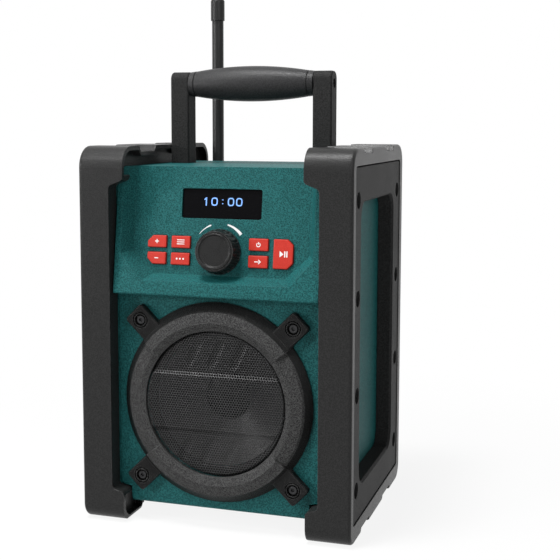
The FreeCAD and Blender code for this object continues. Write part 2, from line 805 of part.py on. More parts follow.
def button_specs():
    """Name, centre across, centre up the panel, width, height and chamfered corners of each key."""
    upper = ROW_V + ROW_PITCH / 2
    lower = ROW_V - ROW_PITCH / 2
    return [
        ("button_tune_up", -COLUMN_OUTER_X, upper, BUTTON_WIDTH, BUTTON_HEIGHT, ("top_left",)),
        ("button_tune_down", -COLUMN_OUTER_X, lower, BUTTON_WIDTH, BUTTON_HEIGHT, ("foot_left",)),
        ("button_info", -COLUMN_INNER_X, upper, BUTTON_WIDTH, BUTTON_HEIGHT, ()),
        ("button_preset", -COLUMN_INNER_X, lower, BUTTON_WIDTH, BUTTON_HEIGHT, ()),
        ("button_power", COLUMN_INNER_X, upper, BUTTON_WIDTH, BUTTON_HEIGHT, ()),
        ("button_source", COLUMN_INNER_X, lower, BUTTON_WIDTH, BUTTON_HEIGHT, ()),
        ("button_enter", COLUMN_OUTER_X, ROW_V, BUTTON_WIDTH, BUTTON_HEIGHT + ROW_PITCH,
         ("top_right", "foot_right")),
    ]


def button_outline(spec, grow):
    name, x, v, width, height, chamfers = spec
    half_w = width / 2 + grow
    half_h = height / 2 + grow
    corner = BUTTON_CHAMFER + grow * 0.6
    points = []
    for key, sx, sv in (("foot_left", -1, -1), ("foot_right", 1, -1), ("top_right", 1, 1), ("top_left", -1, 1)):
        px = x + sx * half_w
        pv = v + sv * half_h
        if key not in chamfers:
            points.append((px, pv))
            continue
        pair = [(px, pv - sv * corner), (px - sx * corner, pv)]
        if sx * sv > 0:
            points += pair
        else:
            points += pair[::-1]
    return points


def board_posts():
    """Corner posts behind the panel that carry the control board."""
    places = []
    for x in (-CONTROL_BOARD_HALF + BOARD_SCREW_INSET, CONTROL_BOARD_HALF - BOARD_SCREW_INSET):
        for v in (CONTROL_BOARD_FOOT_V + BOARD_SCREW_INSET, CONTROL_BOARD_TOP_V - BOARD_SCREW_INSET):
            places.append((x, v))
    return places


def lug_places():
    for k in range(4):
        angle = math.radians(45 + 90 * k)
        yield angle, lug_radius * math.cos(angle), speaker_z + lug_radius * math.sin(angle)


def speaker_screw_places():
    radius = basket_flange_r - SPEAKER_SCREW_INSET
    for k in range(4):
        angle = math.radians(90 * k)
        yield radius * math.cos(angle), speaker_z + radius * math.sin(angle)


def rear_screw_places():
    for x in (-rear_screw_x, rear_screw_x):
        for z in (rear_screw_low, (rear_screw_low + rear_screw_high) / 2, rear_screw_high):
            yield x, z


def handle_bolt_places():
    for sign in (-1, 1):
        yield sign * (handle_inner + HANDLE_ARM_WIDTH / 2), HANDLE_ARM_Y


def nose():
    """The panel that stands out over the speaker, cut to the cage's shelves at the top and the foot."""
    crown_y = lip_y + PANEL_HEIGHT * math.tan(tilt)
    profile = [(inner_face_y, belly_z), (face_y, belly_z), (face_y, lip_z),
               (lip_y, lip_z), (crown_y, crown_z), (shoulder_y + 3 * SHELL, crown_z)]
    solid = prism(profile, [0, NOSE_R, 0, LIP_R, NOSE_R, 0], "x", -nose_half, nose_half)
    notch_z = arm_top_z - CAGE_GAP / 2
    step = [(foot_half - FOOT_BEVEL, belly_z), (foot_half, belly_z + FOOT_BEVEL),
            (foot_half, arm_foot_z + CAGE_GAP), (nose_half, step_z + CAGE_GAP),
            (nose_half, notch_z), (crown_half, notch_z), (crown_half, crown_z)]
    limit = prism(step + [(-x, z) for x, z in reversed(step)], 0, "y", lip_y - PAST, seam_y)
    return solid.common(limit)


def front_cabinet():
    main = prism(body_outline(body_half, 0), BODY_R, "y", shoulder_y, seam_y)
    keel_y0 = front_y + ARM_DEPTH_FOOT + KEEL_GAP
    keel_y1 = rear_y - ARM_DEPTH_FOOT - KEEL_GAP
    keel = box(-nose_half, nose_half, keel_y0, keel_y1, belly_z, step_z + SHELL)
    outer = fuse([main, nose(), keel])
    hollow = prism(body_outline(body_half, SHELL), 0, "y", inner_face_y, seam_y + PAST)
    hollow = hollow.common(panel_half_space(tray_back_n))
    brow = box(-nose_half + SHELL, nose_half - SHELL, lip_y, inner_face_y + PAST,
               lip_z + SHELL, arm_top_z - CAGE_GAP / 2 - SHELL)
    keel_hollow = box(-nose_half + SHELL, nose_half - SHELL, keel_y0 + SHELL, keel_y1 - SHELL,
                      belly_z + SHELL, step_z + 2 * SHELL)
    shell = cut(outer, [hollow, brow.common(panel_half_space(tray_back_n)), keel_hollow])
    added = []
    for _, x, z in lug_places():
        added.append(rod(RING_BOSS_R, (x, inner_face_y - LAP, z), (0, 1, 0), RING_SCREW_LENGTH))
    for x, z in rear_screw_places():
        added.append(rod(BOSS_R, (x, seam_y - REAR_BOSS_LENGTH, z), (0, 1, 0), REAR_BOSS_LENGTH))
        reach = math.copysign(body_half - SHELL / 2, x)
        added.append(box(min(x, reach), max(x, reach), seam_y - REAR_BOSS_LENGTH, seam_y,
                         z - RIB / 2, z + RIB / 2))
    post_length = tray_back_n - board_top_n + LAP
    for x, v in board_posts():
        added.append(on_panel(rod(BOARD_POST_R, (x, v, board_top_n), (0, 0, 1), post_length)))
    for sign in (-1, 1):
        added += [b.common(main) for b in side_bosses(sign)]
    body = fuse([shell] + added)
    hole_y = face_y - PAST
    tools = [tray_recess(), rod(speaker_hole_r, (0, hole_y, speaker_z), (0, 1, 0), 3 * SHELL)]
    for _, x, z in lug_places():
        tools.append(rod(SCREW_R + THREAD_GAP, (x, hole_y, z), (0, 1, 0), RING_PILOT))
    for x, z in speaker_screw_places():
        tools.append(rod(SPEAKER_SCREW_R + THREAD_GAP, (x, inner_face_y + PAST, z), (0, -1, 0),
                         SHELL + LAP))
    for x, z in rear_screw_places():
        tools.append(rod(SCREW_R + THREAD_GAP, (x, seam_y + PAST, z), (0, -1, 0),
                         REAR_BOSS_LENGTH - REAR_PILOT_SHORT))
    for x, v in board_posts():
        tools.append(on_panel(rod(BOARD_SCREW_R + THREAD_GAP, (x, v, board_top_n - PAST), (0, 0, 1), BOARD_PILOT)))
    for sign in (-1, 1):
        tools += side_pilots(sign)
    for x, y in handle_bolt_places():
        tools.append(rod(BASE_BOLT_R + FIT, (x, y, crown_z - 2 * SHELL), (0, 0, 1), 4 * SHELL))
    through = 2 * TRAY_FLOOR
    for spec in button_specs():
        opening = prism(button_outline(spec, FIT), BUTTON_R, "z", tray_back_n - PAST, tray_back_n + through)
        tools.append(on_panel(opening))
    tools.append(on_panel(rod(SHAFT_R + SHAFT_GAP, (0, ROW_V, tray_back_n - PAST), (0, 0, 1), through)))
    window = lens_rectangle(FIT)
    tools.append(on_panel(prism(window, LENS_R, "z", tray_back_n - PAST, tray_back_n + through)))
    return cut(body, tools)


def hinge_lug(radius, x0, x1, y, z, wall_y):
    """Round lug with a foot on the wall behind it."""
    barrel = rod(radius, (x0, y, z), (1, 0, 0), x1 - x0)
    foot = box(x0, x1, wall_y, y, z - radius, z + radius * 0.4)
    return fuse([barrel, foot])


def rear_cabinet():
    outer = prism(body_outline(body_half, 0), BODY_R, "y", rear_shell_y, back_y)
    over = crown_z + SHELL
    slope = [(back_y - REAR_TOP_SLOPE_RUN, crown_z), (back_y + PAST, crown_z - REAR_TOP_SLOPE),
             (back_y + PAST, over), (back_y - REAR_TOP_SLOPE_RUN, over)]
    outer = outer.cut(prism(slope, 0, "x", -half_width, half_width))
    hollow = prism(body_outline(body_half, SHELL), 0, "y", rear_shell_y - PAST, back_y - SHELL)
    inner_slope = [(y - SHELL, z - REAR_SLOPE_WALL) for y, z in slope]
    hollow = hollow.cut(prism(inner_slope, 0, "x", -half_width, half_width))
    shell = outer.cut(hollow)
    well = ANTENNA_POCKET_HALF + ANTENNA_POCKET_WALL
    wall_y = back_y - LAP
    added = [box(antenna_x - well, antenna_x + well, rear_shell_y, back_y,
                 antenna_floor_z - SHELL, crown_z).common(outer)]
    added.append(box(-bay_half - BAY_WALL, bay_half + BAY_WALL, bay_floor_y - BAY_WALL, wall_y,
                     BAY_FOOT_Z - BAY_WALL, bay_top_z + BAY_WALL))
    port_x0 = PORT_X - PORT_WIDTH / 2
    port_x1 = PORT_X + PORT_WIDTH / 2
    port_z0 = PORT_Z - PORT_HEIGHT / 2
    port_z1 = PORT_Z + PORT_HEIGHT / 2
    added.append(box(port_x0 - PORT_WALL, port_x1 + PORT_WALL, back_y - PORT_DEPTH - PORT_WALL, wall_y,
                     port_z0 - PORT_WALL, port_z1 + PORT_WALL))
    for x, z in rear_screw_places():
        added.append(rod(BOSS_R + REAR_BOSS_WALL, (x, rear_shell_y, z), (0, 1, 0), REAR_SHELL_DEPTH - LAP))
    for sign in (-1, 1):
        added += [b.common(outer) for b in side_bosses(sign)]
    post_y = main_board_y + BOARD_THICKNESS
    for x, z in main_board_posts():
        added.append(rod(BOARD_POST_R, (x, post_y, z), (0, 1, 0), back_y - SHELL - post_y + LAP))
    for x0 in (-HINGE_SPREAD, HINGE_SPREAD - HINGE_LUG):
        added.append(hinge_lug(HINGE_R, x0, x0 + HINGE_LUG, hinge_y, hinge_z, wall_y))
    for x0 in (PORT_X - flap_half - FLAP_LUG - FIT, PORT_X + flap_half + FIT):
        added.append(hinge_lug(FLAP_BARREL_R, x0, x0 + FLAP_LUG, flap_pin_y, flap_pin_z, wall_y))
    body = fuse([shell] + [a for a in added if a.Volume > 1])
    tools = [box(antenna_x - ANTENNA_POCKET_HALF, antenna_x + ANTENNA_POCKET_HALF,
                 rear_shell_y + ANTENNA_POCKET_WALL, back_y + PAST, antenna_floor_z, over)]
    tools.append(box(-bay_half, bay_half, bay_floor_y, back_y + PAST, BAY_FOOT_Z, bay_top_z))
    tools.append(box(port_x0, port_x1, back_y - PORT_DEPTH, back_y + PAST, port_z0, port_z1))
    for radius, x in ((POWER_SOCKET_R, power_socket_x), (AUX_SOCKET_R, aux_socket_x)):
        tools.append(rod(radius + FIT, (x, back_y, PORT_Z), (0, -1, 0), PORT_DEPTH + 2 * PORT_WALL))
    for x, z in rear_screw_places():
        tools.append(rod(SCREW_R + FIT, (x, rear_shell_y - PAST, z), (0, 1, 0), REAR_SHELL_DEPTH))
        tools.append(rod(BOSS_R, (x, back_y - REAR_RECESS, z), (0, 1, 0), 2 * REAR_RECESS))
    for sign in (-1, 1):
        tools += side_pilots(sign)
    for x, z in main_board_posts():
        tools.append(rod(BOARD_SCREW_R + THREAD_GAP, (x, main_board_y, z), (0, 1, 0), BOARD_PILOT))
    pin_half = HINGE_SPREAD + PAST
    tools.append(rod(HINGE_PIN_R + THREAD_GAP, (-pin_half, hinge_y, hinge_z), (1, 0, 0), 2 * pin_half))
    flap_reach = 2 * flap_half
    tools.append(rod(FLAP_PIN_R + THREAD_GAP, (PORT_X - flap_reach, flap_pin_y, flap_pin_z), (1, 0, 0),
                     2 * flap_reach))
    for k in range(VENT_COUNT):
        z = MAIN_BOARD_Z + MAIN_BOARD_HEIGHT - VENT_TOP_GAP - k * VENT_PITCH
        tools.append(box(-VENT_LEFT, VENT_RIGHT, back_y - SHELL - PAST, back_y + PAST, z - VENT_HEIGHT, z))
    return cut(body, tools)


def main_board_posts():
    for x in (-MAIN_BOARD_HALF + BOARD_SCREW_INSET, MAIN_BOARD_HALF - BOARD_SCREW_INSET):
        for z in (MAIN_BOARD_Z + BOARD_SCREW_INSET, MAIN_BOARD_Z + MAIN_BOARD_HEIGHT - BOARD_SCREW_INSET):
            yield x, z


def cabinet_gasket():
    inset = (SHELL - GASKET_WIDTH) / 2
    outer = prism(body_outline(body_half, inset), 0, "y", seam_y, rear_shell_y)
    inner = prism(body_outline(body_half, inset + GASKET_WIDTH), 0, "y", seam_y - PAST, rear_shell_y + PAST)
    return outer.cut(inner)


def rear_screws():
    length = REAR_SHELL_DEPTH - REAR_RECESS + GASKET_THICKNESS + REAR_BOSS_LENGTH - 2 * BOSS_R
    return Part.makeCompound([screw((x, back_y - REAR_RECESS, z), (0, -1, 0), length,
                                    SCREW_R, SCREW_HEAD_R, SCREW_HEAD) for x, z in rear_screw_places()])


# Speaker
def about_speaker(points, angle=360.0, start=0.0):
    """Revolves (radius, y) points about the speaker axis, from an angle measured from +X."""
    a = math.radians(start)
    return revolve(points, (0, 0, speaker_z), (0, 1, 0), (math.cos(a), 0, math.sin(a)), angle)


def ring_profile(proud):
    """Section of the ring: a steep outer wall, a wide face and a slope down to the grille."""
    crest = ring_crest_y - proud
    seat_y = grille_y + RING_REBATE_GAP
    rebate_r = ring_bore_r + RING_REBATE
    return [(rebate_r, face_y), (ring_r + proud, face_y), (ring_r + proud, face_y - RING_EDGE),
            (ring_face_r + proud, crest + RING_FACE_FALL), (ring_lip_r + proud, crest),
            (ring_bore_r, grille_y - GRILLE_STEP), (ring_bore_r, seat_y), (rebate_r, seat_y)]


def lug(angle):
    inner = ring_r - LUG_ROOT
    outline = rectangle(inner, lug_radius + LUG_REACH, -LUG_WIDTH / 2, LUG_WIDTH / 2)
    plate = prism(outline, [0, LUG_R, LUG_R, 0], "z", 0, LUG_THICKNESS)
    top = [e for e in plate.Edges if e.BoundBox.ZMin > LUG_THICKNESS - 1e-3 and e.BoundBox.XMax > inner + 1e-3]
    plate = plate.makeChamfer(LUG_BEVEL, top)
    turn = Placement(Vector(0, face_y, speaker_z), Rotation(Vector(1, 0, 0), 90))
    spin = Placement(Vector(0, 0, 0), Rotation(Vector(0, 0, 1), math.degrees(angle)))
    plate.Placement = turn.multiply(spin)
    return plate


def speaker_ring():
    solids = [about_speaker(ring_profile(0))]
    for middle in (90.0, 270.0):
        solids.append(about_speaker(ring_profile(ARC_PROUD), -ARC_SPAN, middle - ARC_SPAN / 2))
    face = face_y - LUG_THICKNESS
    out = (0, -1, 0)
    holes = [rod(ring_bore_r, (0, face_y + PAST, speaker_z), out, 2 * RING_HEIGHT)]
    for angle, x, z in lug_places():
        solids.append(lug(angle))
        holes.append(rod(COUNTERBORE_R, (x, ring_head_y, z), out, 2 * COUNTERBORE_DEPTH))
        holes.append(rod(SCREW_R + FIT, (x, face_y + PAST, z), out, LUG_THICKNESS))
        holes.append(tube(SLEEVE_MOAT_R, SLEEVE_R, (x, face + SLEEVE_MOAT_DEPTH, z), out, 2 * SLEEVE_MOAT_DEPTH))
    return cut(fuse(solids), holes)


def ring_screws():
    return Part.makeCompound([screw((x, ring_head_y, z), (0, 1, 0), RING_SCREW_LENGTH,
                                    SCREW_R, RING_HEAD_R, SCREW_HEAD) for _, x, z in lug_places()])


def speaker_grille():
    radius = ring_bore_r - GRILLE_GAP
    inner = radius - GRILLE_THICKNESS
    reach = 2 * radius
    half = GRILLE_BAND / 2
    z = speaker_z
    raised = grille_y - GRILLE_STEP
    front = [(grille_y, z - reach), (grille_y, z - half - GRILLE_SLOPE), (raised, z - half),
             (raised, z + half), (grille_y, z + half + 2 * GRILLE_SLOPE), (grille_y, z + reach)]
    back = [(y + GRILLE_THICKNESS, level) for y, level in reversed(front)]
    sheet = prism(front + back, 0, "x", -reach, reach)
    sheet = sheet.common(rod(radius, (0, raised - PAST, z), (0, 1, 0), reach))
    band = tube(radius, inner, (0, raised, z), (0, 1, 0), GRILLE_STEP + GRILLE_THICKNESS)
    band = band.common(box(-reach, reach, raised, 0, z - half, z + half))
    flange = tube(ring_bore_r + RING_REBATE - FIT, inner, (0, grille_y + RING_REBATE_GAP, z), (0, 1, 0),
                  GRILLE_THICKNESS)
    return fuse([sheet, band, flange])


def speaker_basket():
    wall = BASKET_WALL
    inner = speaker_hole_r
    hub = COIL_R + BASKET_HUB
    rim_y = basket_y + BASKET_FLANGE
    neck_y = basket_floor_y - wall
    outline = [(inner, basket_y), (basket_flange_r, basket_y), (basket_flange_r, rim_y), (inner + wall, rim_y),
               (BASKET_BASE_R + wall, neck_y), (BASKET_BASE_R + wall, basket_floor_y), (hub, basket_floor_y),
               (hub, neck_y), (BASKET_BASE_R, neck_y), (inner, rim_y)]
    window = [(BASKET_WINDOW_START, -BASKET_WINDOW_FOOT), (BASKET_WINDOW_START, BASKET_WINDOW_FOOT),
              (inner, BASKET_WINDOW_TOP), (inner, -BASKET_WINDOW_TOP)]
    window_y = rim_y + BASKET_BAND
    turn = Placement(Vector(0, window_y, speaker_z), Rotation(Vector(1, 0, 0), -90))
    keep = box(-inner, inner, window_y, neck_y - BASKET_BAND, speaker_z - inner, speaker_z + inner)
    tools = []
    for k in range(BASKET_WINDOWS):
        angle = BASKET_WINDOW_TURN + 360 * k / BASKET_WINDOWS
        hole = prism(window, 0, "z", 0, BASKET_DEPTH)
        hole.Placement = turn.multiply(Placement(Vector(0, 0, 0), Rotation(Vector(0, 0, 1), angle)))
        tools.append(hole.common(keep))
    for x, z in speaker_screw_places():
        tools.append(rod(SPEAKER_SCREW_R + FIT, (x, basket_y - PAST, z), (0, 1, 0), 2 * BASKET_FLANGE))
    return cut(about_speaker(outline), tools)


def speaker_screws():
    head_y = basket_y + BASKET_FLANGE
    return Part.makeCompound([screw((x, head_y, z), (0, -1, 0), SPEAKER_SCREW_LENGTH,
                                    SPEAKER_SCREW_R, SPEAKER_HEAD_R, SPEAKER_HEAD)
                              for x, z in speaker_screw_places()])


def speaker_surround():
    inner = cone_r + SURROUND_LAP
    outer = speaker_hole_r - SURROUND_GAP
    middle = (inner + outer) / 2
    half = (outer - inner) / 2
    steps = 6
    front = []
    for k in range(steps + 1):
        a = math.pi * k / steps
        front.append((middle - half * math.cos(a), cone_rim_y - SURROUND_ROLL * math.sin(a)))
    back = [(r, y + CONE_WALL) for r, y in reversed(front)]
    return about_speaker(front + back)


def speaker_cone():
    neck_r = COIL_R + COIL_WALL
    return about_speaker([(cone_r, cone_rim_y), (cone_r, cone_rim_y + CONE_WALL),
                          (neck_r, cone_neck_y + CONE_WALL), (neck_r, cone_neck_y)])


def dust_cap():
    neck_r = COIL_R + COIL_WALL
    base_r = neck_r + CAP_LAP
    rim_y = cone_neck_y - CONE_DEPTH * CAP_LAP / (cone_r - neck_r)
    steps = 5
    outer = []
    inner = []
    for k in range(steps + 1):
        across = math.cos(math.pi / 2 * k / steps) if k < steps else 0.0
        up = math.sin(math.pi / 2 * k / steps)
        outer.append((base_r * across, rim_y - CAP_RISE * up))
        inner.append(((base_r - CAP_WALL) * across, rim_y - (CAP_RISE - CAP_WALL) * up))
    return about_speaker(outer + inner[::-1])


def voice_coil():
    start = (0, cone_neck_y - COIL_LAP, speaker_z)
    return tube(COIL_R + COIL_WALL, COIL_R, start, (0, 1, 0), COIL_LENGTH)


def speaker_magnet():
    way = (0, 1, 0)
    front = (0, basket_floor_y, speaker_z)
    front_plate = tube(POLE_PLATE_R, COIL_R + COIL_WALL + COIL_GAP, front, way, POLE_PLATE_THICKNESS)
    ring = tube(MAGNET_R, COIL_R + MAGNET_BORE, (0, magnet_y, speaker_z), way, MAGNET_THICKNESS)
    back = rod(POLE_PLATE_R, (0, magnet_back_y, speaker_z), way, POLE_PLATE_THICKNESS)
    pole = rod(pole_r, front, way, POLE_PLATE_THICKNESS + MAGNET_THICKNESS)
    return front_plate, ring, fuse([back, pole])


def spider():
    y = basket_floor_y - BASKET_WALL - SPIDER_THICKNESS
    inner = COIL_R + COIL_WALL + SPIDER_INNER_GAP
    return tube(BASKET_BASE_R - SPIDER_OUTER_GAP, inner, (0, y, speaker_z), (0, 1, 0), SPIDER_THICKNESS)


# Control panel pieces
def button(spec):
    cap = prism(button_outline(spec, 0), BUTTON_R, "z", flange_n, tray_floor_n + BUTTON_PROUD)
    top = tray_floor_n + BUTTON_PROUD - 1e-3
    cap = round_edges(cap, BUTTON_R * 0.75, lambda e: e.BoundBox.ZMin > top)
    flange = prism(button_outline(spec, BUTTON_FLANGE), BUTTON_R, "z",
                   flange_n - BUTTON_FLANGE_THICKNESS, flange_n)
    stem = rod(BUTTON_STEM_R, (spec[1], spec[2], stem_end_n), (0, 0, 1), flange_n - stem_end_n)
    return on_panel(fuse([cap, flange, stem]))


def key_switches():
    made = []
    half = SWITCH_SIZE / 2
    for spec in button_specs():
        x = spec[1]
        v = spec[2]
        base = box(x - half, x + half, v - half, v + half, board_top_n, switch_top_n)
        plunger = rod(PLUNGER_R, (x, v, switch_top_n), (0, 0, 1), PLUNGER_HEIGHT)
        made.append(on_panel(fuse([base, plunger])))
    return Part.makeCompound(made)


def control_board():
    board = box(-CONTROL_BOARD_HALF, CONTROL_BOARD_HALF, CONTROL_BOARD_FOOT_V, CONTROL_BOARD_TOP_V,
                board_back_n, board_top_n)
    tools = [rod(BOARD_SCREW_R + FIT, (x, v, board_back_n - PAST), (0, 0, 1), 2 * BOARD_THICKNESS)
             for x, v in board_posts()]
    chips = [box(x, x + width, v, v + height, board_back_n - depth, board_back_n)
             for x, v, width, height, depth in CHIPS]
    return on_panel(fuse([cut(board, tools)] + chips))


def board_screws():
    sizes = (BOARD_SCREW_LENGTH, BOARD_SCREW_R, BOARD_HEAD_R, BOARD_HEAD)
    made = [on_panel(screw((x, v, board_back_n), (0, 0, 1), *sizes)) for x, v in board_posts()]
    made += [screw((x, main_board_y, z), (0, 1, 0), *sizes) for x, z in main_board_posts()]
    return Part.makeCompound(made)


def lens_rectangle(grow):
    """Outline of the display window, widened by grow."""
    half_w = LENS_WIDTH / 2 + grow
    half_h = LENS_HEIGHT / 2 + grow
    return rectangle(-half_w, half_w, LENS_V - half_h, LENS_V + half_h)


def display_lens():
    pane = prism(lens_rectangle(0), LENS_R - FIT, "z", tray_back_n, tray_floor_n - LENS_SUNK)
    flange = prism(lens_rectangle(LENS_FLANGE), 0, "z", tray_back_n - LENS_FLANGE_THICKNESS, tray_back_n)
    return on_panel(fuse([pane, flange]))


def display_module():
    outline = lens_rectangle(MODULE_MARGIN)
    return on_panel(prism(outline, 0, "z", board_top_n, tray_back_n - LENS_FLANGE_THICKNESS))


def encoder_body():
    half = ENCODER_SIZE / 2
    top = tray_back_n - FIT
    body = box(-half, half, ROW_V - half, ROW_V + half, board_top_n, top)
    bore = rod(SHAFT_R + RUNNING_GAP, (0, ROW_V, board_top_n + ENCODER_FLOOR), (0, 0, 1), top - board_top_n)
    return on_panel(body.cut(bore))


def encoder_shaft():
    start = board_top_n + ENCODER_FLOOR + ENCODER_TAIL
    knob_n = tray_floor_n + KNOB_LIFT
    end = knob_n + KNOB_SOCKET
    shaft = rod(SHAFT_R, (0, ROW_V, start), (0, 0, 1), end - start)
    flat = box(-SHAFT_R, SHAFT_R, ROW_V + SHAFT_FLAT, ROW_V + 2 * SHAFT_R, knob_n, end + PAST)
    return on_panel(shaft.cut(flat))


def knob():
    base_n = tray_floor_n + KNOB_LIFT
    top_n = base_n + KNOB_HEIGHT
    skirt_n = base_n + KNOB_SKIRT
    rim_n = top_n - KNOB_RIM_BEVEL
    moat_r = KNOB_FACE_R + KNOB_MOAT
    dish_r = KNOB_FACE_R - KNOB_RING
    points = [(0, base_n), (KNOB_R, base_n), (KNOB_R, skirt_n), (KNOB_RIM_R, rim_n - KNOB_RIM_BEVEL),
              (KNOB_RIM_R - KNOB_RIM_BEVEL / 2, rim_n), (moat_r, rim_n), (moat_r, top_n - KNOB_MOAT_DEPTH),
              (KNOB_FACE_R, top_n - KNOB_MOAT_DEPTH), (KNOB_FACE_R, top_n), (dish_r, top_n),
              (dish_r - KNOB_DISH_WALL, top_n - KNOB_DISH), (0, top_n - KNOB_DISH)]
    body = revolve(points, (0, ROW_V, 0), (0, 0, 1), (1, 0, 0))
    tools = []
    for k in range(KNOB_FLUTES):
        angle = 2 * math.pi * k / KNOB_FLUTES
        way = Vector(math.cos(angle), math.sin(angle), 0)
        low = Vector(0, ROW_V, skirt_n) + way * (KNOB_R + KNOB_FLUTE_OUT)
        high = Vector(0, ROW_V, top_n + KNOB_FLUTE_R) + way * (KNOB_RIM_R + KNOB_FLUTE_OUT)
        tools.append(rod(KNOB_FLUTE_R, low, high - low, (high - low).Length))
    bore = rod(SHAFT_R + THREAD_GAP, (0, ROW_V, base_n - PAST), (0, 0, 1), KNOB_SOCKET + PAST + FIT)
    key = box(-SHAFT_R, SHAFT_R, ROW_V + SHAFT_FLAT + THREAD_GAP, ROW_V + 2 * SHAFT_R,
              base_n, base_n + KNOB_SOCKET + PAST)
    return on_panel(cut(body, tools + [bore.cut(key)]))


# Handle
def handle_arm():
    x0 = handle_inner
    x1 = x0 + HANDLE_ARM_WIDTH
    y0 = HANDLE_ARM_Y - HANDLE_ARM_DEPTH / 2
    y1 = HANDLE_ARM_Y + HANDLE_ARM_DEPTH / 2
    side = prism(rectangle(y0, y1, crown_z, handle_top_z), [0, 0, HANDLE_CROWN_R, HANDLE_CROWN_R], "x", x0, x1)
    side = round_edges(side, HANDLE_EDGE_R,
                       lambda e: (e.BoundBox.XLength < 1e-3 and e.BoundBox.ZMax > crown_z + PAST))
    bolt_x = x0 + HANDLE_ARM_WIDTH / 2
    out = (1, 0, 0)
    tools = [rod(GRIP_BOLT_R + FIT, (x0 - PAST, HANDLE_ARM_Y, grip_z), out, HANDLE_ARM_WIDTH + 2 * PAST),
             rod(GRIP_RECESS_R, (x1 - GRIP_RECESS_DEPTH, HANDLE_ARM_Y, grip_z), out, 2 * GRIP_RECESS_DEPTH),
             rod(BASE_BOLT_R + THREAD_GAP, (bolt_x, HANDLE_ARM_Y, crown_z - PAST), (0, 0, 1), BASE_BOLT_LENGTH)]
    return cut(side, tools)


def handle_grip():
    half = handle_inner
    seam = half - GRIP_COLLAR
    groove = seam + GRIP_SEAM
    collar_r = GRIP_END_R + GRIP_COLLAR_RISE
    groove_r = collar_r - GRIP_SEAM
    base = Vector(0, HANDLE_ARM_Y, grip_z)
    near = [(0, -half), (GRIP_END_R, -half), (collar_r, -groove), (groove_r, -groove),
            (groove_r, -seam), (collar_r, -seam)]
    near = [base + Vector(x, 0, r) for r, x in near]
    far = [Vector(-p.x, p.y, p.z) for p in reversed(near)]
    crown = base + Vector(0, 0, GRIP_MID_R)
    edges = [Part.LineSegment(a, b).toShape() for a, b in zip(near, near[1:])]
    edges.append(Part.Arc(near[-1], crown, far[0]).toShape())
    edges += [Part.LineSegment(a, b).toShape() for a, b in zip(far, far[1:])]
    edges.append(Part.LineSegment(far[-1], near[0]).toShape())
    solid = Part.Face(Part.Wire(edges)).revolve(base, Vector(1, 0, 0), 360)
    depth = GRIP_BOLT_LENGTH - HANDLE_ARM_WIDTH + GRIP_RECESS_DEPTH + 2 * PAST
    tools = [rod(GRIP_BOLT_R + THREAD_GAP, (sign * (half + PAST), HANDLE_ARM_Y, grip_z), (-sign, 0, 0), depth)
             for sign in (-1, 1)]
    return cut(solid, tools)


def handle_bolts():
    made = []
    seat = handle_inner + HANDLE_ARM_WIDTH - GRIP_RECESS_DEPTH
    for sign in (-1, 1):
        made.append(screw((sign * seat, HANDLE_ARM_Y, grip_z), (-sign, 0, 0), GRIP_BOLT_LENGTH,
                          GRIP_BOLT_R, GRIP_HEAD_R, GRIP_HEAD))
    for x, y in handle_bolt_places():
        made.append(screw((x, y, crown_z - SHELL), (0, 0, 1), BASE_BOLT_LENGTH, BASE_BOLT_R, BASE_HEAD_R, BASE_HEAD))
    return Part.makeCompound(made)


# Antenna
def antenna_base():
    made = [rod(ANTENNA_DISC_R, (antenna_x, antenna_y, antenna_floor_z), (0, 0, 1), ANTENNA_DISC)]
    for start in (antenna_x + ear_inner, antenna_x - ear_inner - EAR_THICKNESS):
        made.append(box(start, start + EAR_THICKNESS, antenna_y - EAR_R, antenna_y + EAR_R,
                        antenna_floor_z + PAST, antenna_pin_z))
        made.append(rod(EAR_R, (start, antenna_y, antenna_pin_z), (1, 0, 0), EAR_THICKNESS))
    reach = ear_inner + EAR_THICKNESS + PAST
    hole = rod(ANTENNA_PIN_R + THREAD_GAP, (antenna_x - reach, antenna_y, antenna_pin_z), (1, 0, 0), 2 * reach)
    return fuse(made).cut(hole)


def antenna_pin():
    reach = ear_inner + EAR_THICKNESS
    return rod(ANTENNA_PIN_R, (antenna_x - reach, antenna_y, antenna_pin_z), (1, 0, 0), 2 * reach)


def antenna_knuckle():
    flat = KNUCKLE_R - KNUCKLE_FLAT
    left = antenna_x - KNUCKLE_HALF
    right = antenna_x + KNUCKLE_HALF
    eye = rod(KNUCKLE_R, (left, antenna_y, antenna_pin_z), (1, 0, 0), right - left)
    neck = box(left, right, antenna_y - flat, antenna_y + flat, antenna_pin_z, rod_start_z)
    hole = rod(ANTENNA_PIN_R + RUNNING_GAP, (left - PAST, antenna_y, antenna_pin_z), (1, 0, 0),
               right - left + 2 * PAST)
    return fuse([eye, neck]).cut(hole)


def antenna_rod():
    return rod(ANTENNA_ROD_R, (antenna_x, antenna_y, rod_start_z), (0, 0, 1), cap_start_z - rod_start_z)


def antenna_cap():
    cap = rod(ANTENNA_CAP_R, (antenna_x, antenna_y, cap_start_z), (0, 0, 1), ANTENNA_CAP_LENGTH)
    return round_edges(cap, ANTENNA_CAP_ROUND, lambda e: e.BoundBox.ZMin > antenna_tip_z - 1e-3)


# Power and sockets
def cell_places():
    """Centre line of each pair of cells, from the foot up."""
    y = bay_floor_y + CELL_R + CELL_GAP
    for row in range(CELL_ROWS):
        yield y, BAY_FOOT_Z + CELL_GAP + CELL_R + row * (2 * CELL_R + CELL_GAP)


def battery_cells():
    made = []
    can_length = CELL_LENGTH - CELL_NUB - CELL_END_GAP
    for y, z in cell_places():
        for start in (-CELL_LENGTH - CELL_END_GAP, CELL_NUB + CELL_END_GAP):
            can = rod(CELL_R, (start, y, z), (1, 0, 0), can_length)
            nub = rod(CELL_NUB_R, (start + can_length, y, z), (1, 0, 0), CELL_NUB)
            made.append(fuse([can, nub]))
    return Part.makeCompound(made)


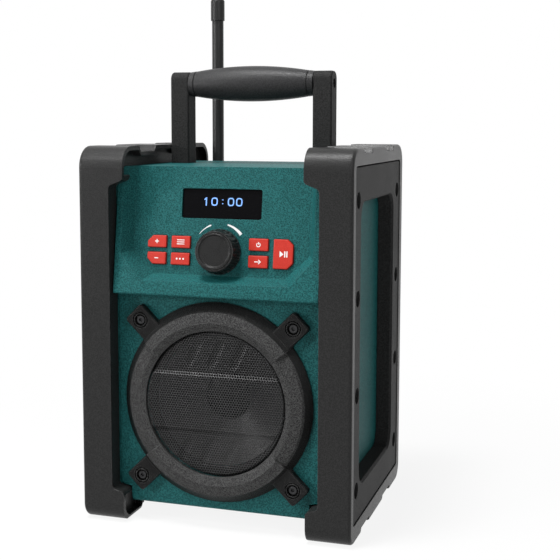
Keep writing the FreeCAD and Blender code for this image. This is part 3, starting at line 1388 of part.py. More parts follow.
def battery_contacts():
    made = []
    half = CONTACT_HALF
    spring_x = CONTACT_THICKNESS - bay_half
    for y, z in cell_places():
        left = box(-bay_half, spring_x, y - half, y + half, z - half, z + half)
        coil = tube(SPRING_R, SPRING_R - SPRING_WALL, (spring_x, y, z), (1, 0, 0), SPRING_LENGTH)
        made.append(fuse([left, coil]))
        made.append(box(-spring_x, bay_half, y - half, y + half, z - half, z + half))
    return Part.makeCompound(made)


def battery_door():
    side = bay_half - DOOR_GAP
    foot = BAY_FOOT_Z + DOOR_GAP
    top = bay_top_z - DOOR_GAP
    pieces = [prism(rectangle(-side, side, foot, top), DOOR_R, "y", back_y - DOOR_THICKNESS, back_y)]
    wall_y = back_y - LAP
    near = hinge_y - HINGE_R
    strap = [(near, hinge_z), (hinge_y + HINGE_R, hinge_z), (hinge_y, hinge_z + STRAP_RISE),
             (wall_y, hinge_z + STRAP_TOP), (wall_y, foot + STRAP_LAP), (near, foot + STRAP_LAP)]
    outer = HINGE_SPREAD - HINGE_LUG - FIT
    for start in (-outer, outer - HINGE_KNUCKLE):
        pieces.append(rod(HINGE_R, (start, hinge_y, hinge_z), (1, 0, 0), HINGE_KNUCKLE))
        pieces.append(prism(strap, 0, "x", start, start + HINGE_KNUCKLE))
    pull_top = top - PULL_DROP
    pieces.append(box(-PULL_HALF, PULL_HALF, wall_y, back_y + PULL_PROUD, pull_top - PULL_HEIGHT, pull_top))
    bore = rod(HINGE_PIN_R + RUNNING_GAP, (-HINGE_SPREAD, hinge_y, hinge_z), (1, 0, 0), 2 * HINGE_SPREAD)
    return cut(fuse(pieces), [bore])


def battery_door_pin():
    return rod(HINGE_PIN_R, (-HINGE_SPREAD, hinge_y, hinge_z), (1, 0, 0), 2 * HINGE_SPREAD)


def port_cover():
    y0 = back_y + FLAP_GAP
    y1 = y0 + FLAP_THICKNESS
    left = PORT_X - flap_half
    right = PORT_X + flap_half
    top = PORT_Z + PORT_HEIGHT / 2 + FLAP_MARGIN
    radii = [FLAP_FOOT_R, FLAP_FOOT_R, FLAP_TOP_R, FLAP_TOP_R]
    pad = prism(rectangle(left, right, flap_foot_z, top), radii, "y", y0, y1)
    barrel = rod(FLAP_BARREL_R, (left, flap_pin_y, flap_pin_z), (1, 0, 0), right - left)
    bridge = box(left, right, y0, flap_pin_y, flap_pin_z, flap_foot_z + FLAP_FOOT_R)
    tab = box(PORT_X - FLAP_TAB_HALF, PORT_X + FLAP_TAB_HALF, y0, y1, top - LAP, top + FLAP_TAB)
    bore = rod(FLAP_PIN_R + RUNNING_GAP, (left - PAST, flap_pin_y, flap_pin_z), (1, 0, 0), right - left + 2 * PAST)
    return cut(fuse([pad, barrel, bridge, tab]), [bore])


def port_cover_pin():
    reach = flap_half + FIT + FLAP_LUG
    return rod(FLAP_PIN_R, (PORT_X - reach, flap_pin_y, flap_pin_z), (1, 0, 0), 2 * reach)


def socket_back(x, half, tall):
    """Moulded body behind a socket's barrel."""
    front = socket_y - PORT_DEPTH - SOCKET_PAST
    return box(x - half, x + half, front - SOCKET_BACK, front, PORT_Z - tall, PORT_Z + tall)


def power_socket():
    length = PORT_DEPTH + SOCKET_PAST
    way = (0, -1, 0)
    barrel = tube(POWER_SOCKET_R, POWER_BORE_R, (power_socket_x, socket_y, PORT_Z), way, length)
    pin = rod(POWER_PIN_R, (power_socket_x, socket_y - POWER_PIN_SET_IN, PORT_Z), way, length)
    return fuse([barrel, pin, socket_back(power_socket_x, POWER_BACK_HALF, POWER_BACK_TALL)])


def aux_socket():
    length = PORT_DEPTH + SOCKET_PAST
    barrel = tube(AUX_SOCKET_R, AUX_BORE_R, (aux_socket_x, socket_y, PORT_Z), (0, -1, 0), length)
    return fuse([barrel, socket_back(aux_socket_x, AUX_BACK_HALF, AUX_BACK_TALL)])


def on_main_board(x, z, width, height, depth):
    """Block on the board's front, placed from the middle and the foot of the board."""
    return box(x, x + width, main_board_y - depth, main_board_y, MAIN_BOARD_Z + z, MAIN_BOARD_Z + z + height)


def main_board():
    board = box(-MAIN_BOARD_HALF, MAIN_BOARD_HALF, main_board_y, main_board_y + BOARD_THICKNESS,
                MAIN_BOARD_Z, MAIN_BOARD_Z + MAIN_BOARD_HEIGHT)
    tools = [rod(BOARD_SCREW_R + FIT, (x, main_board_y - PAST, z), (0, 1, 0), 2 * BOARD_THICKNESS)
             for x, z in main_board_posts()]
    parts = [cut(board, tools)]
    for k in range(CAN_COUNT):
        x = CAN_X + CAN_PITCH * k
        parts.append(rod(CAN_R, (x, main_board_y, MAIN_BOARD_Z + CAN_Z), (0, -1, 0), CAN_HEIGHT))
    parts += [on_main_board(*chip) for chip in MAIN_CHIPS]
    return fuse(parts)


def heat_sink():
    parts = [on_main_board(SINK_X, SINK_Z, SINK_SIDE, SINK_SIDE, SINK_PLATE)]
    for k in range(SINK_FINS):
        parts.append(on_main_board(SINK_X + SINK_PITCH * k, SINK_Z, SINK_FIN, SINK_SIDE, SINK_DEPTH))
    return fuse(parts)


# Every node of the radio
add("front_cabinet", front_cabinet())
add("rear_cabinet", rear_cabinet())
add("cabinet_gasket", cabinet_gasket())
add("rear_screws", rear_screws())
right_rim = cage_rim()
right_plate = side_plate()
right_screws = side_screws()
add("cage_rim_right", right_rim)
add("cage_rim_left", mirror_x(right_rim))
add("side_plate_right", right_plate)
add("side_plate_left", mirror_x(right_plate))
add("side_screws_right", right_screws)
add("side_screws_left", mirror_x(right_screws))
add("speaker_ring", speaker_ring())
add("ring_screws", ring_screws())
add("speaker_grille", speaker_grille())
add("speaker_basket", speaker_basket())
add("speaker_screws", speaker_screws())
add("speaker_surround", speaker_surround())
add("speaker_cone", speaker_cone())
add("dust_cap", dust_cap())
add("voice_coil", voice_coil())
add("spider", spider())
front_pole_plate, magnet_ring, back_plate = speaker_magnet()
add("front_pole_plate", front_pole_plate)
add("magnet_ring", magnet_ring)
add("back_plate_pole", back_plate)
add("display_lens", display_lens())
add("display_module", display_module())
add("control_board", control_board())
add("board_screws", board_screws())
add("key_switches", key_switches())
add("encoder_body", encoder_body())
add("encoder_shaft", encoder_shaft())
add("volume_knob", knob())
for button_spec in button_specs():
    add(button_spec[0], button(button_spec))
right_arm = handle_arm()
add("handle_arm_right", right_arm)
add("handle_arm_left", mirror_x(right_arm))
add("handle_grip", handle_grip())
add("handle_bolts", handle_bolts())
add("antenna_base", antenna_base())
add("antenna_pin", antenna_pin())
add("antenna_knuckle", antenna_knuckle())
add("antenna_rod", antenna_rod())
add("antenna_cap", antenna_cap())
add("battery_cells", battery_cells())
add("battery_contacts", battery_contacts())
add("battery_door", battery_door())
add("battery_door_pin", battery_door_pin())
add("port_cover", port_cover())
add("port_cover_pin", port_cover_pin())
add("power_socket", power_socket())
add("aux_socket", aux_socket())
add("main_board", main_board())
add("heat_sink", heat_sink())

os.makedirs("parts", exist_ok=True)
for name, shape in nodes.items():
    shape.exportStep(f"parts/{name}.step")
    print(name, "solids", len(shape.Solids), "valid", shape.isValid(), "volume", round(shape.Volume))
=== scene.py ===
"""Looks of the jobsite radio: materials, grille, display, key symbols, studio and camera.

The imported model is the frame. Lengths are metres, +Z is up and the front faces -Y.
"""

import json
import logging
import math
from dataclasses import dataclass, field
from enum import Enum
from functools import cache
from typing import Any, Mapping, Optional, Sequence, Union

import bpy
from mathutils import Matrix, Vector


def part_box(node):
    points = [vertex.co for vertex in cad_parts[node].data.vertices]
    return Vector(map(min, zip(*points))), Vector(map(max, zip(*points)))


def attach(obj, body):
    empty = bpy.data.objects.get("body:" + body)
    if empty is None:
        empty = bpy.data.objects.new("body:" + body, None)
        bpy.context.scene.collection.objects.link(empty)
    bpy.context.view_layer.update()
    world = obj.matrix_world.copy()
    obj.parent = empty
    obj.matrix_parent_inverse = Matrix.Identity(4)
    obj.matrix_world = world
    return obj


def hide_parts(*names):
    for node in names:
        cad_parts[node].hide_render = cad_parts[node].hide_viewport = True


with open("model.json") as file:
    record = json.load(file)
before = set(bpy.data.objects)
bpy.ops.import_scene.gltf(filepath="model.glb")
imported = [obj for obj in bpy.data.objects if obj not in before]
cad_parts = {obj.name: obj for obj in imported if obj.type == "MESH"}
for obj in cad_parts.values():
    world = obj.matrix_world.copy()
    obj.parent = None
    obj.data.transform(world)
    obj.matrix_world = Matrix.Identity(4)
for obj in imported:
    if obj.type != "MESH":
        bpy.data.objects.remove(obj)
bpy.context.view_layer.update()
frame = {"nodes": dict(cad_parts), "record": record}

LOG = logging.getLogger("jobsite_radio")
MM = 0.001
FULL_TURN = 360.0
NOISE_MEAN = 0.5
SPEAKER_HEIGHT = sum(corner[2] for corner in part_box("speaker_ring")) / 2

Number = Union[int, float]
Triple = tuple[float, float, float]
Colour = Triple
Point = tuple[float, float]
Span = tuple[float, float]


def grey(level: float) -> Colour:
    """An even grey."""
    return (level, level, level)


def turned(angle: float, axis: str) -> Matrix:
    """Rotation about an axis, as a 4 x 4 matrix."""
    return Matrix.Rotation(angle, 4, axis)


def within(value: float, low: float, high: float) -> float:
    """The value, held between low and high."""
    return min(max(value, low), high)


class Signal:
    """A shader socket that takes part in Python expressions; each operator adds a Math node."""

    def __init__(self, graph: "Graph", socket: bpy.types.NodeSocket) -> None:
        """Wraps an output socket of the graph."""
        self.graph = graph
        self.socket = socket

    def _math(self, operation: str, first: Any, second: Any) -> "Signal":
        """Adds one Math node on two values."""
        return self.graph.node("ShaderNodeMath", {"operation": operation}, {0: first, 1: second})

    def __add__(self, other: Union["Signal", Number]) -> "Signal":
        """self + other."""
        return self._math("ADD", self, other)

    def __radd__(self, other: Number) -> "Signal":
        """other + self."""
        return self._math("ADD", other, self)

    def __sub__(self, other: Union["Signal", Number]) -> "Signal":
        """self - other."""
        return self._math("SUBTRACT", self, other)

    def __rsub__(self, other: Number) -> "Signal":
        """other - self."""
        return self._math("SUBTRACT", other, self)

    def __mul__(self, other: Union["Signal", Number]) -> "Signal":
        """self * other."""
        return self._math("MULTIPLY", self, other)

    def __rmul__(self, other: Number) -> "Signal":
        """other * self."""
        return self._math("MULTIPLY", other, self)

    def __pow__(self, other: Union["Signal", Number]) -> "Signal":
        """self to the power of other."""
        return self._math("POWER", self, other)

    def __rpow__(self, other: Number) -> "Signal":
        """other to the power of self."""
        return self._math("POWER", other, self)

    def __mod__(self, other: Union["Signal", Number]) -> "Signal":
        """Distance of self into a repeat of length other, also below zero."""
        return self._math("FLOORED_MODULO", self, other)

    def __rmod__(self, other: Number) -> "Signal":
        """Distance of other into a repeat of length self."""
        return self._math("FLOORED_MODULO", other, self)

    def bigger(self, other: Union["Signal", Number]) -> "Signal":
        """The larger of the two."""
        return self._math("MAXIMUM", self, other)

    def smaller(self, other: Union["Signal", Number]) -> "Signal":
        """The smaller of the two."""
        return self._math("MINIMUM", self, other)

    def ramp(self, low: float, high: float) -> "Signal":
        """Rises from 0 at low to 1 at high, and stays within 0 and 1.

        Args:
            low: value that becomes 0.
            high: value that becomes 1.

        Returns:
            The scaled and clamped signal.
        """
        settings = {"clamp": True, "data_type": "FLOAT"}
        inputs = {"Value": self, "From Min": low, "From Max": high}
        return self.graph.node("ShaderNodeMapRange", settings, inputs)

    def sibling(self, output: str) -> "Signal":
        """Another output of the node that this signal comes from."""
        return Signal(self.graph, self.socket.node.outputs[output])


@dataclass(frozen=True)
class Noise:
    """A soft noise.

    Attributes:
        size: size of a grain in metres.
        detail: how many finer layers are added.
        roughness: strength of the finer layers.
        stretch: scale along each axis, for brushed or drawn grain.
    """

    size: float
    detail: float
    roughness: float
    stretch: Triple = (1.0, 1.0, 1.0)


class Graph:
    """The node graph of one material or of the world."""

    MIX_FACTOR, MIX_LOW, MIX_HIGH, MIX_RESULT = 0, 6, 7, 2
    BEVEL_SAMPLES = 4
    EDGE_SPAN: Span = (0.02, 0.25)

    def __init__(self, owner: Union[str, bpy.types.World]) -> None:
        """Clears a node graph.

        Args:
            owner: the world, or the name of a new material.
        """
        made = isinstance(owner, str)
        self.material = bpy.data.materials.new(owner) if made else owner
        self.material.use_nodes = True
        self.end = "ShaderNodeOutputMaterial" if made else "ShaderNodeOutputWorld"
        self.tree = self.material.node_tree
        self.tree.nodes.clear()

    def _add(self, kind: str, settings: Mapping[str, Any],
             inputs: Mapping[Union[int, str], Any]) -> bpy.types.Node:
        """Makes every node of the graph.

        Args:
            kind: Blender's node type.
            settings: attributes set before the sockets.
            inputs: values or signals by socket name or number.

        Returns:
            The new node.
        """
        made = self.tree.nodes.new(kind)
        for key, value in settings.items():
            setattr(made, key, value)
        for key, value in inputs.items():
            if isinstance(value, Signal):
                self.tree.links.new(value.socket, made.inputs[key])
            else:
                made.inputs[key].default_value = value
        return made

    def node(self, kind: str, settings: Optional[Mapping[str, Any]] = None,
             inputs: Optional[Mapping[Union[int, str], Any]] = None,
             output: Union[int, str] = 0) -> Signal:
        """Adds a node and gives one of its outputs.

        Args:
            kind: Blender's node type.
            settings: attributes set before the sockets.
            inputs: values or signals by socket name or number.
            output: the output socket that is returned.

        Returns:
            The chosen output as a signal.
        """
        return Signal(self, self._add(kind, settings or {}, inputs or {}).outputs[output])

    def place(self) -> Signal:
        """Position in the object's own coordinates, in metres."""
        return self.node("ShaderNodeTexCoord", output="Object")

    def axes(self) -> tuple[Signal, Signal, Signal]:
        """Position split into X, Y and Z."""
        x = self.node("ShaderNodeSeparateXYZ", {}, {0: self.place()})
        return x, x.sibling("Y"), x.sibling("Z")

    def noise(self, kind: Noise) -> Signal:
        """Soft noise between 0 and 1.

        Args:
            kind: the noise's grain and layers.

        Returns:
            The noise value.
        """
        spot = self.node("ShaderNodeVectorMath", {"operation": "MULTIPLY"},
                         {0: self.place(), 1: kind.stretch})
        inputs = {"Vector": spot, "Scale": 1.0 / kind.size, "Detail": kind.detail,
                  "Roughness": kind.roughness}
        return self.node("ShaderNodeTexNoise", {}, inputs)

    def cells(self, size: float) -> Signal:
        """Distance from the middle of irregular cells of the given size."""
        inputs = {"Vector": self.place(), "Scale": 1.0 / size}
        return self.node("ShaderNodeTexVoronoi", {}, inputs)

    def mix(self, factor: Union[Signal, Number], low: Union[Signal, Colour],
            high: Union[Signal, Colour]) -> Signal:
        """Mixes two colours.

        Args:
            factor: 0 gives low and 1 gives high.
            low: first colour or signal.
            high: second colour or signal.

        Returns:
            The mixed colour.
        """
        def opaque(value: Union[Signal, Colour]) -> Any:
            """A colour with its alpha, or the signal as it is."""
            return value if isinstance(value, Signal) else (*value, 1.0)

        inputs = {self.MIX_FACTOR: factor, self.MIX_LOW: opaque(low), self.MIX_HIGH: opaque(high)}
        return self.node("ShaderNodeMix", {"data_type": "RGBA"}, inputs, self.MIX_RESULT)

    def rounded(self, radius: float) -> Signal:
        """Normal with the sharp edges rounded off by radius."""
        return self.node("ShaderNodeBevel", {"samples": self.BEVEL_SAMPLES}, {"Radius": radius})

    def edge(self, rounded: Signal) -> Signal:
        """Finds the edges by how far a rounded normal leans off the true one.

        Args:
            rounded: the rounded normal.

        Returns:
            1 on an edge and 0 on a flat.
        """
        true_normal = self.node("ShaderNodeNewGeometry", output="Normal")
        same = self.node("ShaderNodeVectorMath", {"operation": "DOT_PRODUCT"},
                         {0: rounded, 1: true_normal}, output="Value")
        return (1.0 - same).ramp(*self.EDGE_SPAN)

    def bump(self, height: Signal, depth: float, normal: Signal) -> Signal:
        """Relief over a normal.

        Args:
            height: relief between 0 and 1.
            depth: full height in metres.
            normal: the normal under the relief.

        Returns:
            The new normal.
        """
        inputs = {"Strength": 1.0, "Distance": depth, "Height": height, "Normal": normal}
        return self.node("ShaderNodeBump", {}, inputs)

    def surface(self, **sockets: Any) -> None:
        """Closes the graph with a Principled shader.

        Args:
            sockets: values or signals by socket name, with spaces as underscores.
        """
        inputs = {key.replace("_", " ").title().replace("Ior", "IOR"): value
                  for key, value in sockets.items()}
        self.output(self.node("ShaderNodeBsdfPrincipled", {}, inputs))

    def output(self, shader: Signal) -> None:
        """Joins a shader to the output."""
        self._add(self.end, {}, {"Surface": shader})


@dataclass(frozen=True)
class MouldedPlastic:
    """Grained plastic or rubber with flecks, and with a pale tone along its edges that is partly
    handling wear and partly a painted highlight where light catches the rounded edges.

    Attributes:
        fine_share: size of the fine noise beside the grain, and its share in the flecks.
        face_radius: distance from the speaker's axis beyond which all stays dark, or 0 for none.
    """

    name: str
    colour: Colour
    fleck: Colour
    # Pale edge tone: partly real handling wear, partly a painted highlight for light catching the
    # rounded edges; wear sets its strength and scuff breaks it up.
    worn_and_highlight: Colour
    grain: float
    relief: float
    roughness: float
    roughness_spread: float = 0.12
    fine_spread: float = 0.10
    wear_and_highlight: float = 0.35
    round_over: float = 0.7 * MM
    shine: float = 0.3
    face_radius: float = 0.0
    face_fade: float = 0.5 * MM
    beyond_face: Colour = grey(0.007)
    fine_share: float = 0.6
    fine_detail: float = 3.0
    fine_roughness: float = 0.6
    cloud: Noise = Noise(38 * MM, 3.0, 0.55)
    scuff_and_highlight: Noise = Noise(5 * MM, 4.0, 0.7)
    speck_span: Span = (0.40, 0.58)
    scuff_and_highlight_span: Span = (0.35, 0.75)

    def tone(self, graph: Graph, speck: Signal) -> Signal:
        """Colour before the pale edge tone of wear and painted highlight.

        Args:
            graph: the material's graph.
            speck: 1 where a fleck is.

        Returns:
            The flecked colour, dark beyond the face where the finish has one.
        """
        tone = graph.mix(speck, self.colour, self.fleck)
        if not self.face_radius:
            return tone
        x, _, z = graph.axes()
        up = z - SPEAKER_HEIGHT
        away = (x * x + up * up) ** 0.5
        outside = away.ramp(self.face_radius, self.face_radius + self.face_fade)
        return graph.mix(outside, tone, self.beyond_face)

    def material(self) -> bpy.types.Material:
        """Builds the material.

        Returns:
            The material.
        """
        graph = Graph(self.name)
        rounded = graph.rounded(self.round_over)
        leather = graph.cells(self.grain)
        fine = graph.noise(Noise(self.grain * self.fine_share, self.fine_detail,
                                 self.fine_roughness))
        flecks = fine * self.fine_share + leather * (1.0 - self.fine_share)
        speck = flecks.ramp(*self.speck_span)
        # Painted highlight mixed with wear: edges found by the bevel normal get the pale tone,
        # broken up by noise.
        scuff_and_highlight = graph.edge(rounded) * graph.noise(self.scuff_and_highlight).ramp(*self.scuff_and_highlight_span) * self.wear_and_highlight
        base = graph.mix(scuff_and_highlight, self.tone(graph, speck), self.worn_and_highlight)
        clouds = (graph.noise(self.cloud) - NOISE_MEAN) * self.roughness_spread
        smooth = clouds + (fine - NOISE_MEAN) * self.fine_spread + self.roughness
        graph.surface(base_color=base, roughness=smooth,
                      normal=graph.bump(speck, self.relief, rounded),
                      specular_ior_level=self.shine)
        return graph.material


@dataclass(frozen=True)
class DrawnMetal:
    """Machined or drawn metal with fine lines and a few dull spots."""

    name: str
    colour: Colour
    dull: Colour
    roughness: float = 0.20
    relief: float = 0.02 * MM
    round_over: float = 0.2 * MM
    lines: Noise = Noise(0.25 * MM, 2.0, 0.6, (1.0, 1.0, 0.15))
    spots: Noise = Noise(3 * MM, 3.0, 0.6)
    spot_span: Span = (0.45, 0.75)
    line_spread: float = 0.18
    spot_spread: float = 0.15

    def material(self) -> bpy.types.Material:
        """Builds the material.

        Returns:
            The material.
        """
        graph = Graph(self.name)
        lines = graph.noise(self.lines)
        spots = graph.noise(self.spots).ramp(*self.spot_span)
        rough = lines * self.line_spread + spots * self.spot_spread + self.roughness
        normal = graph.bump(lines, self.relief, graph.rounded(self.round_over))
        graph.surface(base_color=graph.mix(spots, self.colour, self.dull), roughness=rough,
                      metallic=1.0, normal=normal)
        return graph.material


@dataclass(frozen=True)
class DisplayGlass:
    """Glossy black window with faint smears and dust."""

    name: str
    colour: Colour = (0.003, 0.003, 0.0035)
    dust_colour: Colour = (0.05, 0.05, 0.055)
    dust: Noise = Noise(0.4 * MM, 1.0, 0.5)
    dust_span: Span = (0.68, 0.75)
    dust_share: float = 0.3
    smear: Noise = Noise(7 * MM, 4.0, 0.6, (1.0, 1.0, 0.3))
    smear_span: Span = (0.35, 0.8)
    smear_spread: float = 0.14
    roughness: float = 0.05
    relief: float = 0.01 * MM
    round_over: float = 0.3 * MM
    shine: float = 0.03

    def material(self) -> bpy.types.Material:
        """Builds the material.

        Returns:
            The material.
        """
        graph = Graph(self.name)
        smear = graph.noise(self.smear)
        dust = graph.noise(self.dust).ramp(*self.dust_span)
        base = graph.mix(dust * self.dust_share, self.colour, self.dust_colour)
        rough = smear.ramp(*self.smear_span) * self.smear_spread + self.roughness
        normal = graph.bump(smear, self.relief, graph.rounded(self.round_over))
        graph.surface(base_color=base, roughness=rough, normal=normal,
                      specular_ior_level=self.shine)
        return graph.material


@dataclass(frozen=True)
class PerforatedSheet:
    """Black steel sheet with a close grid of round holes.

    Attributes:
        pitch: distance between the middles of two holes in a row.
        hole: radius of a hole.
        rim: start and end of a hole's rounded edge, as shares of its radius.
    """

    name: str
    colour: Colour = (0.016, 0.016, 0.0165)
    pale: Colour = (0.030, 0.030, 0.031)
    pitch: float = 2.0 * MM
    hole: float = 0.79 * MM
    rim: Span = (0.85, 1.15)
    patch: Noise = Noise(9 * MM, 3.0, 0.6)
    roughness: float = 0.24
    roughness_spread: float = 0.15
    relief: float = 0.12 * MM
    round_over: float = 0.3 * MM
    shine: float = 0.42

    def distance(self, x: Signal, z: Signal, shift: float) -> Signal:
        """Distance from the nearest hole's middle.

        Args:
            x: place across the sheet.
            z: place up the sheet.
            shift: share of a repeat by which this set of holes is moved.

        Returns:
            The distance in metres.
        """
        row = self.pitch * math.sqrt(3)
        across = ((x + shift * self.pitch) % self.pitch) - self.pitch / 2
        along = ((z + shift * row) % row) - row / 2
        return (across * across + along * along) ** 0.5

    def material(self) -> bpy.types.Material:
        """Builds the material; every second row of holes is moved by half a repeat.

        Returns:
            The material.
        """
        graph = Graph(self.name)
        x, _, z = graph.axes()
        nearest = self.distance(x, z, 0.0).smaller(self.distance(x, z, 0.5))
        solid = nearest.ramp(self.hole * self.rim[0], self.hole * self.rim[1])
        patch = graph.noise(self.patch)
        normal = graph.bump(solid, self.relief, graph.rounded(self.round_over))
        graph.surface(base_color=graph.mix(patch, self.colour, self.pale),
                      roughness=patch * self.roughness_spread + self.roughness,
                      alpha=solid, normal=normal, specular_ior_level=self.shine)
        return graph.material


@dataclass(frozen=True)
class Paint:
    """Printed legend with slightly rubbed places, lit from within where it has a glow."""

    name: str
    colour: Colour
    worn_and_highlight: Colour
    glow: float = 0.0
    glow_worn: float = 0.25
    rub: Noise = Noise(0.8 * MM, 3.0, 0.6)
    rub_span: Span = (0.5, 0.8)
    rub_share: float = 0.5
    roughness: float = 0.4
    roughness_spread: float = 0.2
    relief: float = 0.01 * MM
    round_over: float = 0.1 * MM

    def material(self) -> bpy.types.Material:
        """Builds the material.

        Returns:
            The material.
        """
        graph = Graph(self.name)
        # On printed legends the second colour is only the rubbed tone of the print; no highlight is
        # painted here.
        rub = graph.noise(self.rub).ramp(*self.rub_span)
        sockets: dict[str, Any] = {
            "base_color": graph.mix(rub * self.rub_share, self.colour, self.worn_and_highlight),
            "roughness": rub * self.roughness_spread + self.roughness,
            "normal": graph.bump(rub, self.relief, graph.rounded(self.round_over)),
        }
        if self.glow:
            sockets["emission_color"] = graph.mix(rub * self.glow_worn, self.colour, self.worn_and_highlight)
            sockets["emission_strength"] = self.glow
        graph.surface(**sockets)
        return graph.material


@dataclass(frozen=True)
class Fibre:
    """Pressed paper or dipped cloth with a fibrous face."""

    name: str
    colour: Colour
    fibre: Colour
    strands: Noise = Noise(0.6 * MM, 4.0, 0.7, (1.0, 1.0, 0.25))
    strand_span: Span = (0.3, 0.7)
    roughness: float = 0.6
    roughness_spread: float = 0.2
    relief: float = 0.08 * MM
    round_over: float = 0.2 * MM
    shine: float = 0.1

    def material(self) -> bpy.types.Material:
        """Builds the material.

        Returns:
            The material.
        """
        graph = Graph(self.name)
        strands = graph.noise(self.strands)
        graph.surface(base_color=graph.mix(strands.ramp(*self.strand_span), self.colour,
                                           self.fibre),
                      roughness=strands * self.roughness_spread + self.roughness,
                      normal=graph.bump(strands, self.relief, graph.rounded(self.round_over)),
                      specular_ior_level=self.shine)
        return graph.material


class Finish(Enum):
    """Every finish on the radio."""

    # Each moulded finish's third colour is its pale edge tone, partly wear and partly painted
    # highlight; it is strongest on the knob, cages and cabinet.
    CABINET = MouldedPlastic(
        "cabinet_green", (0.002, 0.042, 0.043), (0.014, 0.106, 0.106), (0.12, 0.34, 0.33),
        grain=1.0 * MM, relief=0.10 * MM, roughness=0.5, wear_and_highlight=0.6, round_over=0.4 * MM, shine=0.12)
    GUARD = MouldedPlastic(
        "guard_black", grey(0.011), grey(0.021), grey(0.24),
        grain=0.9 * MM, relief=0.04 * MM, roughness=0.32, wear_and_highlight=0.5, round_over=0.9 * MM,
        shine=0.15)
    PLATE = MouldedPlastic(
        "plate_black", grey(0.016), grey(0.032), grey(0.26),
        grain=0.9 * MM, relief=0.04 * MM, roughness=0.38, wear_and_highlight=0.5, shine=0.015)
    TRIM = MouldedPlastic(
        "trim_grey", grey(0.008), grey(0.060), grey(0.24),
        grain=0.8 * MM, relief=0.2 * MM, roughness=0.36, wear_and_highlight=0.7, shine=0.12,
        face_radius=68.5 * MM)
    KNOB = MouldedPlastic(
        "knob_black", grey(0.004), grey(0.009), grey(0.32),
        grain=0.6 * MM, relief=0.03 * MM, roughness=0.28, wear_and_highlight=1.0, round_over=0.4 * MM,
        shine=0.22)
    DOME = MouldedPlastic(
        "dome_black", grey(0.006), grey(0.009), grey(0.04),
        grain=0.8 * MM, relief=0.01 * MM, roughness=0.18, roughness_spread=0.04, shine=0.08)
    KEYS = MouldedPlastic(
        "key_orange", (0.38, 0.013, 0.006), (0.46, 0.024, 0.012), (0.78, 0.16, 0.10),
        grain=0.5 * MM, relief=0.03 * MM, roughness=0.42, wear_and_highlight=0.2)
    GRIP = MouldedPlastic(
        "grip_black", (0.011, 0.011, 0.0115), (0.026, 0.026, 0.027), grey(0.06),
        grain=0.9 * MM, relief=0.05 * MM, roughness=0.38, shine=0.18)
    AERIAL = MouldedPlastic(
        "antenna_black", (0.010, 0.010, 0.0105), grey(0.020), grey(0.05),
        grain=0.6 * MM, relief=0.02 * MM, roughness=0.34, shine=0.2)
    SEAL = MouldedPlastic(
        "seal_black", grey(0.005), grey(0.010), grey(0.03),
        grain=0.5 * MM, relief=0.03 * MM, roughness=0.6, shine=0.05)
    BOARD = MouldedPlastic(
        "board_green", (0.010, 0.10, 0.035), (0.02, 0.15, 0.06), (0.30, 0.24, 0.10),
        grain=0.5 * MM, relief=0.02 * MM, roughness=0.4)
    FERRITE = MouldedPlastic(
        "magnet_grey", (0.05, 0.05, 0.052), grey(0.09), grey(0.16),
        grain=0.4 * MM, relief=0.03 * MM, roughness=0.55)
    CELL = MouldedPlastic(
        "cell_wrap", (0.05, 0.055, 0.07), (0.07, 0.075, 0.09), grey(0.2),
        grain=2 * MM, relief=0.01 * MM, roughness=0.28)
    SCREW = DrawnMetal("screw_steel", (0.045, 0.045, 0.047), grey(0.02), roughness=0.24)
    BRIGHT = DrawnMetal("bright_steel", (0.62, 0.62, 0.63), grey(0.40), roughness=0.13)
    COPPER = DrawnMetal("coil_copper", (0.70, 0.36, 0.20), (0.40, 0.20, 0.12),
                        lines=Noise(0.25 * MM, 2.0, 0.6, (1.0, 0.1, 1.0)))
    ALUMINIUM = DrawnMetal("sink_aluminium", (0.66, 0.67, 0.68), grey(0.5))
    GLASS = DisplayGlass("lens_black")
    GRILLE = PerforatedSheet("grille_black")
    CONE = Fibre("cone_black", grey(0.003), grey(0.006), roughness=0.25, shine=0.2)
    CLOTH = Fibre("spider_yellow", (0.45, 0.30, 0.10), (0.65, 0.50, 0.25))
    LEGEND = Paint("legend_white", grey(0.72), grey(0.45))
    DIGITS = Paint("digit_blue", (0.17, 0.35, 0.80), (0.12, 0.26, 0.66), glow=0.35)

    @cache
    def material(self) -> bpy.types.Material:
        """The finish's material, built once."""
        return self.value.material()


def dress(obj: bpy.types.Object, finish: Finish) -> None:
    """Covers an object with one finish."""
    obj.data.materials.clear()
    obj.data.materials.append(finish.material())


def add_to_scene(obj: bpy.types.Object) -> bpy.types.Object:
    """Links a new object to the scene and gives it back."""
    bpy.context.scene.collection.objects.link(obj)
    return obj


def mesh_object(name: str, points: Sequence[Vector], faces: Sequence[Sequence[int]],
                finish: Finish, body: str = "chassis", smooth: bool = False) -> bpy.types.Object:
    """Makes a mesh piece in the scene.

    Args:
        name: name of the piece.
        points: its vertices, in metres.
        faces: vertex numbers of each face.
        finish: what covers it.
        body: the body it moves with.
        smooth: shades it smooth.

    Returns:
        The new object.
    """
    mesh = bpy.data.meshes.new(name)
    mesh.from_pydata([tuple(p) for p in points], [], [tuple(f) for f in faces])
    mesh.validate()
    if smooth:
        mesh.shade_smooth()
    obj = add_to_scene(bpy.data.objects.new(name, mesh))
    dress(obj, finish)
    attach(obj, body)
    return obj


